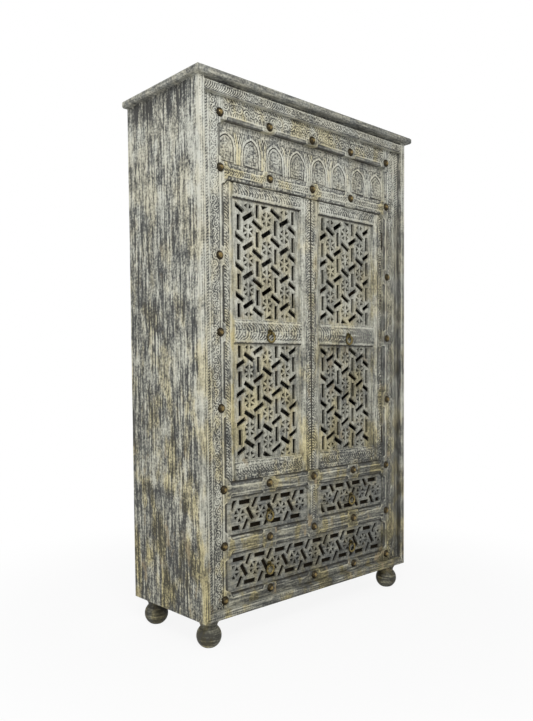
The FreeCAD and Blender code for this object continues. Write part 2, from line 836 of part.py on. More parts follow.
# Feet
def foot(x, y):
    """A turned ball foot: flat sole, ball, hollow neck and collar."""
    centre_z = math.sqrt(foot_ball_radius ** 2 - foot_flat_radius ** 2)
    sole_turn = -math.atan2(centre_z, foot_flat_radius)
    neck_turn = math.acos(foot_neck_radius / foot_ball_radius)
    profile = []
    for k in range(foot_ball_bands + 1):
        turn = sole_turn + (neck_turn - sole_turn) * k / foot_ball_bands
        profile.append((foot_ball_radius * math.cos(turn), centre_z + foot_ball_radius * math.sin(turn)))
    profile[0] = (foot_flat_radius, 0)
    collar_low = underside_height - foot_collar_height
    neck_z = profile[-1][1]
    hollow_radius = foot_neck_radius + (foot_collar_radius - foot_neck_radius) / 4
    profile.append((hollow_radius, neck_z + (collar_low - neck_z) * 2 / 3))
    profile.append((foot_collar_radius, collar_low))
    profile.append((foot_collar_radius, underside_height))
    member = turned(profile, foot_sides)
    member.translate(vec(x, y, 0))
    return member


def build_carcass():
    side = side_panel()
    save("side_panel_right", side)
    save("side_panel_left", mirrored(side))
    back_half = inner_half + back_rebate
    save("back_panel", block((-back_half, back_half), (inside_back_y, back_y),
                             (underside_height, cornice_bottom)))
    save("bottom_board", block((-inner_half, inner_half), (frame_back_y, inside_back_y),
                               (underside_height, underside_height + board_thickness)))
    save("shelf_boards", *[housed_board(*place) for place in housed_boards()])
    save("cornice", cornice(), cove())
    save("cornice_strip", block((-inner_half, inner_half), (border_front_y + strip_setback, frame_front_y),
                                (strip_bottom, strip_top)))
    upright = border_upright()
    save("border_right", upright)
    save("border_left", mirrored(upright))
    save("border_bottom", border_bottom())
    foot_x = body_half - foot_inset
    foot_front_y = border_front_y + foot_inset
    foot_back_y = back_y - foot_inset
    save("foot_front_left", foot(-foot_x, foot_front_y))
    save("foot_front_right", foot(foot_x, foot_front_y))
    save("foot_back_left", foot(-foot_x, foot_back_y))
    save("foot_back_right", foot(foot_x, foot_back_y))


def build_frame():
    right = stile()
    save("stile_right", right)
    save("stile_left", mirrored(right))
    high_inner = high_stud_share * opening_half_width
    low_inner = low_stud_share * opening_half_width
    high_studs = (-high_inner, 0.0, high_inner)
    low_studs = (-low_inner, 0.0, low_inner)
    width = chamfer_width
    save("frieze_rail", rail(frieze_rail_bottom, cornice_bottom, high_studs,
                             [(frieze_rail_bottom, 1, width)]))
    save("head_rail", rail(head_rail_bottom, head_rail_top, high_studs,
                           [(head_rail_bottom, 1, width), (head_rail_top, -1, head_upper_chamfer_width)]))
    save("drawer_rail", rail(drawer_rail_bottom, drawer_rail_top, low_studs,
                             [(drawer_rail_bottom, 1, width), (drawer_rail_top, -1, width)]))
    save("middle_rail", rail(middle_rail_bottom, middle_rail_top, low_studs,
                             [(middle_rail_bottom, 1, width), (middle_rail_top, -1, width)]))
    save("bottom_rail", rail(underside_height, bottom_rail_top, low_studs,
                             [(bottom_rail_top, -1, width)]))
    save("corner_blocks", *corner_blocks())
    save("drawer_divider", divider())
    save("arch_panel", arch_panel())
    save("frame_studs", *[stud(x, z) for x, z in stud_places()])


def build_doors():
    lower, upper = door_lights()
    members = door_members()
    for name, member in members.items():
        save("right_door_" + name, member)
        save("left_door_" + name, mirrored(member))
    lower_jali = door_jali(lower, lower_jali_shift, -60)
    upper_jali = door_jali(upper, upper_jali_shift, 60)
    save("right_door_lower_jali", lower_jali)
    save("right_door_upper_jali", upper_jali)
    save("left_door_lower_jali", mirrored(lower_jali))
    save("left_door_upper_jali", mirrored(upper_jali))
    frame_parts = []
    door_parts = []
    for centre in hinge_centres_z:
        frame_parts += [hinge_leaf(centre, frame_leaf_x(), 0), hinge_pin(centre)]
        door_parts.append(hinge_leaf(centre, door_leaf_x(), 1))
    save("frame_hinge_leaves", *(frame_parts + [mirrored(piece) for piece in frame_parts]))
    save("right_door_hinge_leaves", *door_parts)
    save("left_door_hinge_leaves", *[mirrored(piece) for piece in door_parts])
    pull_x = (door_meeting_gap / 2 + opening_half_width - door_side_gap) / 2
    pull_z = (door_middle_rail_bottom + door_middle_rail_top) / 2
    for side, sign in (("left", -1), ("right", 1)):
        save(side + "_door_pull_plate", pull_plate(sign * pull_x, pull_z))
        save(side + "_door_ring", pull_ring(sign * pull_x, pull_z))


def build_drawers():
    small = (middle_rail_top, drawer_rail_bottom)
    large = (bottom_rail_top, middle_rail_bottom)
    spans = {"left_small_drawer": (-opening_half_width, -divider_half, small, small_first_rosette, -60),
             "right_small_drawer": (divider_half, opening_half_width, small, small_first_rosette, 60),
             "large_drawer": (-opening_half_width, opening_half_width, large, large_first_rosette, -60)}
    for name, (x_low, x_high, (z_low, z_high), first, turn) in spans.items():
        save(name + "_front", drawer_front(x_low, x_high, z_low, z_high, first, turn))
        save(name + "_tray", *drawer_tray(x_low, x_high, z_low, z_high))
    pull_x = (divider_half + opening_half_width) / 2
    small_z = sum(small) / 2 + pull_post_height / 2 + small_pull_rise
    for side, sign in (("left", -1), ("right", 1)):
        save(side + "_small_drawer_pull_plate", pull_plate(sign * pull_x, small_z))
        save(side + "_small_drawer_ring", pull_ring(sign * pull_x, small_z))
    large_z = sum(large) / 2 + pull_post_height / 2 + large_pull_rise
    save("large_drawer_pull_plates", pull_plate(-pull_x, large_z), pull_plate(pull_x, large_z))
    save("large_drawer_ring_left", pull_ring(-pull_x, large_z))
    save("large_drawer_ring_right", pull_ring(pull_x, large_z))
    tray_outer_x = opening_half_width - drawer_gap - drawer_side_inset
    tray_inner_x = divider_half + drawer_gap + drawer_side_inset
    small_floor = middle_rail_top + drawer_gap
    large_floor = bottom_rail_top + drawer_gap
    runners = side_runner(small_floor, tray_outer_x) + side_runner(large_floor, tray_outer_x)
    save("drawer_runners", *(runners + [mirrored(piece) for piece in runners]
                             + centre_runner(small_floor, tray_inner_x)))


os.makedirs("parts", exist_ok=True)
build_carcass()
build_frame()
build_doors()
build_drawers()
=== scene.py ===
import json
import math

import bmesh
import bpy
import numpy as np
from mathutils import Matrix, Vector

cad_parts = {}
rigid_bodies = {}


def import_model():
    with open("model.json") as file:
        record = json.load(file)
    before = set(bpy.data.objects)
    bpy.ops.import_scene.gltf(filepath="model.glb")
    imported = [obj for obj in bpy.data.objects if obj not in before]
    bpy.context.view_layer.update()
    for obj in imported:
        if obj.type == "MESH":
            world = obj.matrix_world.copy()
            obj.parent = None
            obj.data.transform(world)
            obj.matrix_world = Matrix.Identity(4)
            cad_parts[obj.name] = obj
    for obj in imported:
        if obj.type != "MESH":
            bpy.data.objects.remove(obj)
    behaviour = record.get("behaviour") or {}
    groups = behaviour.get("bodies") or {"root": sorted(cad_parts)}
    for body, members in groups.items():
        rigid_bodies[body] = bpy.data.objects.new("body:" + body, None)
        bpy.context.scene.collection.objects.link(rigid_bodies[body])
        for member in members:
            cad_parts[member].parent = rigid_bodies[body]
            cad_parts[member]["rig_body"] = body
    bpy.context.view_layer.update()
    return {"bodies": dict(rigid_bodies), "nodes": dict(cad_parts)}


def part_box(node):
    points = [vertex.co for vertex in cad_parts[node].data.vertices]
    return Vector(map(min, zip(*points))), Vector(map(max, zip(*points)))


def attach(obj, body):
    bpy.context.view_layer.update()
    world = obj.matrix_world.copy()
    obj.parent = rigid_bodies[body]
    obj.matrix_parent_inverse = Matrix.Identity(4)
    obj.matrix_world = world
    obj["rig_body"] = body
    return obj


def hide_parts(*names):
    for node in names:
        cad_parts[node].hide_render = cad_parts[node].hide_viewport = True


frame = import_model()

# Looks of the carved two-door cabinet. Lengths are millimetres in the part's frame, with +Z up
# and -Y to the front. Meshes, materials, lamps and the camera are in metres.
MM = 0.001
TAU = 2 * math.pi

# What counts as a sharp edge, a flat face and one point (metres)
SHARP_EDGE = math.radians(50)
BEVELLED_EDGE = math.radians(30)
FLAT_FACE = math.radians(1)
SAME_POINT = 1e-6
SAME_CAD_POINT = 1e-5

# Steps of the worked surfaces
FINE_STEP = 1.6
ARCH_STEP = 1.35
BORDER_STEP, BORDER_RUN_STEP = 1.8, 3
SIDE_STEP, SIDE_RUN_STEP = 2.6, 9.0

# Relief of the carving, and the marks that the materials read from it, which paint shade in the
# cuts and highlights on what stands out and along the rims
GROUND_DEPTH = 1.9
PIT_SIZE = 4.6
PIT_SEEDS = 500
LATTICE_CELLS = 128
DARKEST_RELIEF = 2.4
MARK_SHARE = 0.75
EDGE_REACH = 3
EDGE_FULL = 0.35
RIM_HIGHLIGHT = 0.7

# Chamfers: sizes, the depth where the slope's painted shade starts, how pale the edge's painted
# highlight is
CHAMFER_WIDTH = 15.0
HEAD_UPPER_CHAMFER_WIDTH = 22.0
CHAMFER_DEPTH = 4.5
STOP_SOFTNESS = 2.2
SLOPE_SHADE_START = 0.9
PAINTED_HIGHLIGHT_LINE = 1.6

# Corner blocks, the blocks and pads under the studs, mitres, lines of the stiles
CORNER_LEG = 14.0
STUD_BLOCK_HALF = 28.0
PAD_HALF_X, PAD_HALF_Z = 21, 17
STUD_TIP = 0.5
LEAF_SHOW = 0.1
SIDE_MITRE, BOTTOM_MITRE = 27.0, 22.0
STILE_LINES = (CHAMFER_WIDTH, 20, 57, 66, 73, 80)

# Doors: cut corners, hollow bevel of a stile, bevel of a rail
DOOR_LEG = 19.7
DOOR_LINES = (19, 21)
STILE_BEVEL_START, STILE_BEVEL_DEPTH = 26, 7.0
RAIL_BEVEL_WIDTH, RAIL_BEVEL_DEPTH = 9.0, 6.0

# Rows of leaves on the door rails: middle, half width, pitch, lean, bend, start and end
RAIL_LEAVES = {"top_rail": [(26, 13, 12.0, 0.9, 0.6, 12, 42)],
               "middle_rail": [(54, 13, 12.5, 0.8, 0.5, 42, 67), (26, 13, 12.5, -0.8, 0.5, 13, 39)],
               "bottom_rail": [(26, 11, 11.5, 1.0, -0.5, 14, 38)]}

# The row of arches: where the first stands, and one arch's half width and heights
ARCH_COUNT = 8
ARCH_END = 35.0
ARCH_HALF, ARCH_BASE, ARCH_SPRING, ARCH_POINT = 36, 5, 50, 97
ARCH_SINK = 1.6

# Metal and turned pieces
STUD_RADIUS, STUD_HEIGHT, STUD_BOSS, STUD_FLANGE, STUD_SIDES = 14.4, 9.9, 1.6, 0.8, 24
RING_RADIUS, WIRE_HALF_WIDE, WIRE_HALF_THICK = 16.0, 4.0, 2.4
RING_SIDES, WIRE_SIDES, RING_NOTCHES = 56, 16, 22
BALL_RADIUS, SOLE_RADIUS, NECK_RADIUS, COLLAR_RADIUS, FOOT_SIDES = 40.6, 20.5, 27.4, 33.2, 64

# Lime wash: its rise upwards and to the left, which is painted light from the upper left, the
# yellow's fall upwards, share of yellow (gain and rest), the relief of painted shade deep in holes,
# and the range where a drawer's backing is painted dark as shade
PAINTED_LIGHT_RISE = 0.16
PAINTED_LIGHT_LEFT = 0.12
OCHRE_FALL = 0.65
YELLOW_SHARE = (0.85, 0.18)
HOLE_SHADE_RELIEF = -1.6
BACKING_SHADE = (-148.5, -147.0)

# Scales of each kind of grain along x, y and z. It is drawn out where the scale is small
GRAIN = {"x": (0.1, 1.0, 1.0), "z": (1.0, 1.0, 0.12), "level": (0.1, 0.1, 1.0),
         "top": (0.08, 0.35, 1.0)}

# Colours, linear
WASH_TONES = ((0.10, (0.055, 0.055, 0.051)), (0.30, (0.120, 0.121, 0.110)),
              (0.44, (0.215, 0.213, 0.185)), (0.56, (0.335, 0.327, 0.270)),
              (0.70, (0.480, 0.468, 0.385)), (0.92, (0.680, 0.665, 0.560)))
OCHRE = (0.42, 0.32, 0.17)
YELLOWED = (1.05, 0.95, 0.64)
COOLED = (0.97, 1.0, 1.06)
SHADE_BLACK = (0.020, 0.015, 0.009)
BARE_BROWN = (0.10, 0.068, 0.042)
DARK_BOARD = (0.035, 0.026, 0.018)
WHITE = (1.0, 1.0, 1.0, 1.0)
FLOOR_TONES = ((0.80, 0.80, 0.80), (0.84, 0.84, 0.84))

# Stage: half the floor's side, where it turns white, its light near by, and the sky's light
FLOOR_REACH = 6.0
FLOOR_FADE = (0.7, 1.7)
FLOOR_WHITE_NEAR = 0.90
SKY_STRENGTH = 0.44


def span(node):
    """The lowest and highest corner of a node, in millimetres."""
    low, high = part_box(node)
    return np.array(low) / MM, np.array(high) / MM


# Curves and noise that the carving is made of
def ease(t):
    """An S curve from 0 to 1: 3 t squared less 2 t cubed, held flat outside."""
    t = np.clip(t, 0, 1)
    return t * t * (3 - 2 * t)


def band(u, low, high, soft=1.0):
    """1 between low and high, eased to 0 over soft on both sides."""
    return ease((u - low) / soft + 0.5) * ease((high - u) / soft + 0.5)


def ridge(distance, half_width):
    """A half round: the square root of 1 less the squared share of the half width."""
    return np.sqrt(np.clip(1 - (distance / half_width) ** 2, 0, 1))


def lattice(u, v, cell_u, cell_v, seed):
    """Smooth noise from 0 to 1: seeded random values on a lattice of cells, blended by S curves."""
    table = np.random.default_rng(seed).random((LATTICE_CELLS, LATTICE_CELLS))
    i, j = u / cell_u, v / cell_v
    i0, j0 = np.floor(i).astype(int), np.floor(j).astype(int)
    s, t = ease(i - i0), ease(j - j0)
    left, right = i0 % LATTICE_CELLS, (i0 + 1) % LATTICE_CELLS
    lower, upper = j0 % LATTICE_CELLS, (j0 + 1) % LATTICE_CELLS
    low = table[left, lower] * (1 - s) + table[right, lower] * s
    high = table[left, upper] * (1 - s) + table[right, upper] * s
    return low * (1 - t) + high * t


def hand(u, v, seed, size, reach):
    """How far a hand-cut line strays at a place: two lattices of noise, one each way."""
    return [(lattice(u, v, size, size, s) - 0.5) * 2 * reach for s in (seed, seed + 1)]


def curls(across, along, pitch, radius, turns=2.0):
    """A running vine: a waving stem with a curl in each bend, on one side and the other in turn,
    and short nicks outside the curls. A curl is a spiral, high where the radius over the arm
    width less the angle over a turn is whole. The stem is a half round on a cosine."""
    stem_half, nick_pitch, nick_lean = 1.7, pitch / 4, 7
    cell = np.floor(along / pitch)
    side = np.where(cell % 2 == 0, 1.0, -1.0)
    out = (across - side * radius * 0.25) * side
    onward = along - (cell + 0.5) * pitch
    r, angle = np.hypot(out, onward), np.arctan2(onward, out)
    arm = radius / turns
    spiral = 0.5 + 0.5 * np.cos(TAU * (r / arm - angle / TAU * side))
    curl = ease((spiral - 0.16) / 0.34) * ease((radius - r) / 1.2)
    stem = ridge(across + radius * 0.9 * np.cos(np.pi * along / pitch + np.pi / 2), stem_half)
    outside = ease((r - radius) / 1.5)
    nick = np.abs(np.sin(np.pi * (along / nick_pitch + across * side / nick_lean)))
    return np.maximum(np.maximum(curl, stem), outside * (0.15 + 0.75 * ease((nick - 0.25) / 0.4)))


def feathers(across, along, pitch, lean, bend=0.0):
    """A row of leaning strokes: high except near the lines where the length over the pitch plus
    the lean times across plus the bend times across squared is whole. Across runs from -1 to 1."""
    phase = along / pitch + lean * across + bend * across ** 2
    return np.abs(np.sin(np.pi * phase)) ** 0.8


def chevrons(across, along, pitch, lean):
    """A plait of leaves on both sides of a midrib: strokes that lean away from the middle."""
    leaf = feathers(np.abs(across), along, pitch, lean)
    return np.maximum(leaf * ease((1.05 - np.abs(across)) / 0.2), ridge(across, 0.12))


def pitted(u, v, seed, deep=1.3):
    """Tool pits and crusted wash: noise as small as a few millimetres."""
    return (lattice(u, v, PIT_SIZE, PIT_SIZE, seed + PIT_SEEDS) - 0.5) * deep


def tool_marks(u, v):
    """Marks of the plane and the chisel on a plain face, drawn out along u."""
    return (lattice(u, v, 70, 8, 5) - 0.5) * 1.3 + (lattice(u, v, 14, 4, 6) - 0.5) * 0.5


def runs_between(low, high, centres):
    """The stretches from low to high that the stud blocks leave free, without the short ones."""
    runs, start = [], low
    for centre in sorted(centres):
        if low < centre < high:
            runs.append((start, centre - STUD_BLOCK_HALF))
            start = centre + STUD_BLOCK_HALF
    runs.append((start, high))
    return [run for run in runs if run[1] - run[0] > 2 * CHAMFER_WIDTH]


def chamfer(across, along, runs, width=CHAMFER_WIDTH):
    """Depth of a stopped chamfer: full at the edge and none at its width. Each end stops in an arc
    as long as the width."""
    share = np.clip(across / width, 0, 1)
    stop = width * (1 - np.sqrt(np.clip(1 - share ** 2, 0, 1)))
    total = np.zeros_like(across)
    for start, end in runs:
        inside = np.minimum(along - start, end - along) - stop
        total = np.maximum(total, ease(inside / STOP_SOFTNESS + 0.5))
    return total * CHAMFER_DEPTH * (1 - share)


def chamfer_shade_and_highlight(depth):
    """1 where a chamfer of this depth gets painted shade, and how pale the painted highlight along its
    upper edge is.
    """
    return ease((depth - SLOPE_SHADE_START) / 0.5), PAINTED_HIGHLIGHT_LINE * band(depth, 0.05, SLOPE_SHADE_START, 0.1)


# Mesh making
def grid_lines(low, high, step, breaks=()):
    """Values from low to high about a step apart, with one on each break."""
    stops = [low] + sorted(b for b in breaks if low < b < high) + [high]
    parts = []
    for a, b in zip(stops, stops[1:]):
        parts.append(np.linspace(a, b, max(1, round((b - a) / step)) + 1)[:-1])
    return np.append(np.concatenate(parts), high)


def front_grid(low, high, step=FINE_STEP, z_breaks=()):
    """x and z of a grid over the front of a box, row by row upwards."""
    return np.meshgrid(grid_lines(low[0], high[0], step), grid_lines(low[2], high[2], step, z_breaks))


def make_mesh(name, points, faces, marks=None):
    """A mesh from points in millimetres and a list of arrays of corner numbers, with one row for
    each face. Marks are named values of the points, for the materials."""
    mesh = bpy.data.meshes.new(name)
    mesh.vertices.add(len(points))
    mesh.vertices.foreach_set("co", (np.asarray(points) * MM).astype(np.float32).ravel())
    corners = np.concatenate([f.ravel() for f in faces])
    sizes = np.concatenate([np.full(len(f), f.shape[1]) for f in faces])
    mesh.loops.add(len(corners))
    mesh.loops.foreach_set("vertex_index", corners.astype(np.int32))
    mesh.polygons.add(len(sizes))
    starts = np.concatenate([[0], np.cumsum(sizes)[:-1]])
    mesh.polygons.foreach_set("loop_start", starts.astype(np.int32))
    mesh.update(calc_edges=True)
    for mark, values in (marks or {}).items():
        layer = mesh.attributes.new(mark, "FLOAT", "POINT")
        layer.data.foreach_set("value", np.asarray(values, np.float32).ravel())
    return mesh


def in_scene(name, data):
    """A new object in the scene, at the origin."""
    thing = bpy.data.objects.new(name, data)
    bpy.context.scene.collection.objects.link(thing)
    return thing


def show(name, mesh, body, material, replaces=(), smooth=True):
    """The finished piece: an object at the origin that rides on its body."""
    piece = in_scene(name, mesh)
    mesh.materials.clear()
    mesh.materials.append(material)
    if smooth:
        mesh.shade_smooth()
        mesh.set_sharp_from_angle(angle=SHARP_EDGE)
    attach(piece, body)
    if replaces:
        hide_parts(*replaces)
    return piece


def blurred(values, reach):
    """The mean over a square of cells that reaches so many cells to each side."""
    padded = np.pad(values, reach + 1, mode="edge")
    total = padded.cumsum(0).cumsum(1)
    size = 2 * reach + 1
    rows, cols = values.shape
    top, left = slice(size, size + rows), slice(size, size + cols)
    return (total[top, left] - total[:rows, left] - total[top, :cols] + total[:rows, :cols]) / size ** 2


def board_mesh(name, across, along, depth, back, place, marks, tint=None):
    """A board whose face is a height field: arrays of places across and along, row by row
    upwards, and of depths behind the face plane, which place turns into x, y and z. The sides
    run straight back to the depth called back, and strips close the back. Marks are high where
    the finish is dark and low where it is pale: besides the wood's tone they paint shade in the
    cuts and along shaded lines, and highlights. The edge mark, the local mean depth less the
    depth, is high on what stands out, a painted highlight, and low in dips, painted shade."""
    rows, cols = depth.shape
    number = np.arange(rows * cols).reshape(rows, cols)
    face = np.stack([number[:-1, :-1], number[:-1, 1:], number[1:, 1:], number[1:, :-1]], -1)
    rim = np.concatenate([number[0, :-1], number[:-1, -1], number[-1, :0:-1], number[:0:-1, 0]])
    count = len(rim)
    behind = rows * cols + np.arange(count)
    following = np.roll(np.arange(count), -1)
    skirt = np.stack([rim[following], rim, behind, behind[following]], -1)
    right = behind[cols - 1:cols - 1 + rows]
    left = behind[(-np.arange(rows)) % count]
    strips = np.stack([left[1:-2], left[2:-1], right[2:-1], right[1:-2]], -1)
    low_end = np.concatenate([behind[:cols][::-1], left[1:2], right[1:2]])
    high_row = behind[cols + rows - 2:2 * cols + rows - 2]
    high_end = np.concatenate([high_row[::-1], right[-2:-1], left[-2:-1]])
    source = np.append(number.ravel(), rim)
    far = np.append(depth.ravel(), np.full(count, float(back)))
    points = np.stack(place(across.ravel()[source], far, along.ravel()[source]), -1)
    relief = np.clip(-marks / DARKEST_RELIEF, -1, 1)
    edge = np.clip((blurred(depth, EDGE_REACH) - depth) / EDGE_FULL, -1, 1)
    # Painted highlight along the board's rim
    edge.ravel()[rim] = RIM_HIGHLIGHT
    layers = {"relief": relief.ravel()[source], "edge": np.append(edge.ravel(), np.zeros(count))}
    if tint is not None:
        layers["tint"] = tint.ravel()[source]
    faces = [face.reshape(-1, 4), skirt, strips, low_end[None, :], high_end[None, :]]
    return make_mesh(name, points, faces, layers)


def facing(way, plane):
    """Place for boards whose face looks one way from a plane. Along is z. Across is x in front,
    and runs forwards on the left side and backwards on the right."""
    if way == "front":
        return lambda across, depth, along: (across, plane + depth, along)
    if way == "left":
        return lambda across, depth, along: (plane + depth, -across, along)
    return lambda across, depth, along: (plane - depth, across, along)


def show_front(name, node, x, z, depth, marks, wood, tint=None, body="carcass"):
    """A carved board in a node's place: it starts at the node's front and is as thick. A grid
    that runs to the left is turned round first."""
    low, high = span(node)
    if x[0, 0] > x[0, -1]:
        x, z, depth, marks = x[:, ::-1], z[:, ::-1], depth[:, ::-1], marks[:, ::-1]
        tint = tint if tint is None else tint[:, ::-1]
    mesh = board_mesh(name, x, z, depth, high[1] - low[1], facing("front", low[1]), marks, tint)
    show(name, mesh, body, WOODS[wood], [node])


def turned_mesh(name, profile, centre, axis, sides, marks=None):
    """A turning: each (radius, height) of the profile carried round the axis in even steps. It
    closes in one point where the radius is zero, and in a flat cap anywhere else."""
    profile = np.asarray(profile, float)
    turn = TAU * np.arange(sides) / sides
    radius, height = profile[:, 0], profile[:, 1]
    ring = np.stack([radius[:, None] * np.cos(turn), radius[:, None] * np.sin(turn),
                     np.repeat(height[:, None], sides, 1)], -1)
    number = np.arange(len(profile) * sides).reshape(len(profile), sides)
    following = np.roll(number, -1, 1)
    walls = np.stack([number[:-1], following[:-1], following[1:], number[1:]], -1).reshape(-1, 4)
    points = ring.reshape(-1, 3)
    if axis == "y":
        points = points[:, [0, 2, 1]] * (1, -1, 1)
    mesh = make_mesh(name, points + np.asarray(centre), [walls, number[:1, ::-1], number[-1:]], marks)
    work = bmesh.new()
    work.from_mesh(mesh)
    bmesh.ops.remove_doubles(work, verts=work.verts, dist=SAME_POINT)
    work.to_mesh(mesh)
    work.free()
    return mesh


def cad_copy(node, name, material, bevel_width=0.9, segments=2):
    """A copy of a node with its loose triangles merged into flat faces and its edges rounded."""
    work = bmesh.new()
    work.from_mesh(frame["nodes"][node].data)
    bmesh.ops.remove_doubles(work, verts=work.verts, dist=SAME_CAD_POINT)
    bmesh.ops.dissolve_limit(work, angle_limit=FLAT_FACE, verts=work.verts, edges=work.edges)
    mesh = bpy.data.meshes.new(name)
    work.to_mesh(mesh)
    work.free()
    piece = show(name, mesh, frame["nodes"][node]["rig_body"], material, [node], smooth=False)
    bevel = piece.modifiers.new("rounded_edges", "BEVEL")
    bevel.width = bevel_width * MM
    bevel.segments = segments
    bevel.limit_method = "ANGLE"
    bevel.angle_limit = BEVELLED_EDGE


# Materials
def feed(tree, node, inputs):
    """Give a node's inputs their values, or link sockets to them."""
    for key, value in inputs.items():
        if isinstance(value, bpy.types.NodeSocket):
            tree.links.new(value, node.inputs[key])
        else:
            node.inputs[key].default_value = value


def add(tree, kind, inputs=None, **settings):
    """One shader node with its settings and inputs."""
    node = tree.nodes.new("ShaderNode" + kind)
    for key, value in settings.items():
        setattr(node, key, value)
    feed(tree, node, inputs or {})
    return node


def maths(tree, operation, a, b=0.0):
    """The result of one sum on values or sockets."""
    return add(tree, "Math", {0: a, 1: b}, operation=operation).outputs[0]


def scaled(tree, a, b, c=0.0):
    """a times b, plus c."""
    return add(tree, "Math", {0: a, 1: b, 2: c}, operation="MULTIPLY_ADD").outputs[0]


def eased(tree, value, low, high):
    """The value brought to 0 at low and 1 at high, by an S curve."""
    node = add(tree, "MapRange", {"Value": value, "From Min": low, "From Max": high},
               interpolation_type="SMOOTHSTEP")
    return node.outputs["Result"]


def blend(tree, share, a, b, way="MIX"):
    """Colour a turned into colour b by the share, or into a times b."""
    node = add(tree, "Mix", {0: share, 6: a, 7: b}, data_type="RGBA", blend_type=way)
    return node.outputs[2]


def noise(tree, vector, scale, detail=3.0, roughness=0.6):
    """Noise from 0 to 1, with so many cells in a metre."""
    return add(tree, "TexNoise", {"Vector": vector, "Scale": scale, "Detail": detail,
                                  "Roughness": roughness}).outputs["Fac"]


def stretched(tree, vector, x, y, z):
    """Coordinates scaled along each axis: noise on them is drawn out where the scale is small."""
    return add(tree, "Mapping", {"Vector": vector, "Scale": (x, y, z)}).outputs[0]


def mark(tree, name):
    """A mark that the mesh carries: 0 on meshes that don't."""
    return add(tree, "Attribute", attribute_name=name).outputs["Fac"]


def colour(rgb):
    """A colour with full alpha."""
    return (*rgb, 1.0)


def toned(tree, share, stops):
    """A colour that runs through the given tones as the share rises."""
    node = add(tree, "ValToRGB", {"Fac": share})
    ramp = node.color_ramp
    while len(ramp.elements) < len(stops):
        ramp.elements.new(0.5)
    for element, (position, rgb) in zip(ramp.elements, stops):
        element.position = position
        element.color = colour(rgb)
    return node.outputs["Color"]


def stray(tree, value, gain):
    """How far a noise lies from its middle, times the gain."""
    return scaled(tree, value, gain, -gain / 2)


def new_group(name, inputs, outputs):
    """A shader node group with its inputs and outputs, and its two end nodes."""
    group = bpy.data.node_groups.new(name, "ShaderNodeTree")
    for direction, sockets in (("INPUT", inputs), ("OUTPUT", outputs)):
        for socket, kind in sockets:
            group.interface.new_socket(name=socket, in_out=direction, socket_type="NodeSocket" + kind)
    return group, group.nodes.new("NodeGroupInput"), group.nodes.new("NodeGroupOutput")


def make_limed_group():
    """Lime wash worn off streaky wood. Ribs, fine streaks and thin dark lines follow the grain,
    blotches, level bands and grit follow the place, and their sum, the cover of lime, picks the
    tone. The relief and edge marks keep the wash pale on high carving and edges, a painted
    highlight, and turn it near black in the cuts, painted shade. Some patches are cooler, some
    yellowed, and spots of them tan."""
    shares = ("Lime", "Ochre", "Relief", "Edge", "Speckle", "Streaks", "Blotches")
    group, given, out = new_group(
        "limed wood", [("Place", "Vector"), ("Grain", "Vector")] + [(s, "Float") for s in shares],
        [("Color", "Color"), ("Roughness", "Float"), ("Height", "Float")])
    socket = given.outputs
    place, grain = socket["Place"], socket["Grain"]
    drawn = stretched(group, place, 1.0, 1.0, 0.45)
    ribs = noise(group, grain, 80.0, 2.0, 0.5)
    thread = noise(group, grain, 46.0, 1.0, 0.5)
    fine = noise(group, grain, 190.0, 2.0, 0.6)
    blotch = noise(group, place, 18.0)
    bands = noise(group, stretched(group, place, 0.3, 0.3, 1.0), 8.0, 2.0, 0.55)
    patch = noise(group, drawn, 15.0)
    spot = noise(group, drawn, 24.0)
    grit = noise(group, place, 140.0, 2.0, 0.7)

    along = maths(group, "ADD", stray(group, ribs, 1.1), stray(group, fine, 1.3))
    off_line = eased(group, maths(group, "ABSOLUTE", stray(group, thread, 1.0)), 0.0, 0.05)
    along = maths(group, "ADD", along, scaled(group, off_line, 0.3, -0.27))
    cover = scaled(group, along, socket["Streaks"], 0.46)
    mottle = maths(group, "ADD", stray(group, blotch, 1.1), stray(group, bands, 0.8))
    cover = scaled(group, mottle, socket["Blotches"], cover)
    cover = scaled(group, stray(group, grit, 1.0), socket["Speckle"], cover)
    cover = maths(group, "ADD", cover, socket["Lime"])
    # Painted highlight and shade: relief and edge marks raise the cover of lime on what stands out and
    # lower it in the cuts
    cover = scaled(group, socket["Relief"], 0.34, cover)
    cover = scaled(group, socket["Edge"], 0.22, cover)

    shade = blend(group, eased(group, patch, 0.56, 0.40), toned(group, cover, WASH_TONES),
                  colour(COOLED), "MULTIPLY")
    yellow = scaled(group, eased(group, patch, 0.48, 0.62), *YELLOW_SHARE)
    yellow = scaled(group, yellow, socket["Ochre"])
    tinted = blend(group, yellow, shade, colour(YELLOWED), "MULTIPLY")
    tan = blend(group, 0.6, shade, colour(OCHRE))
    bare = scaled(group, eased(group, spot, 0.60, 0.72), socket["Ochre"])
    shade = blend(group, scaled(group, bare, 0.9), tinted, tan)
    # Painted shade: deep marks, the cuts and dark lines, are blended towards near black
    cut = eased(group, scaled(group, socket["Relief"], -1.0), 0.4, 1.2)
    shade = blend(group, scaled(group, cut, 0.85), shade, colour(SHADE_BLACK))

    feed(group, out, {"Color": shade, "Roughness": scaled(group, cover, 0.15, 0.65),
                      "Height": scaled(group, cover, 0.8, scaled(group, fine, 0.5))})
    return group


def empty_tree(holder):
    """The node tree of a material or world, with nothing in it."""
    holder.use_nodes = True
    holder.node_tree.nodes.clear()
    return holder.node_tree


def new_material(name):
    """A material with its Principled shader, and the object coordinates that patterns follow."""
    material = bpy.data.materials.new(name)
    tree = empty_tree(material)
    shader = add(tree, "BsdfPrincipled")
    add(tree, "OutputMaterial", {"Surface": shader.outputs[0]})
    return material, tree, shader, add(tree, "TexCoord").outputs["Object"]


def bump(tree, height, distance):
    """The normal of a bump whose height of 0 to 1 spans a distance in millimetres."""
    return add(tree, "Bump", {"Height": height, "Distance": distance * MM, "Strength": 0.6}).outputs[0]


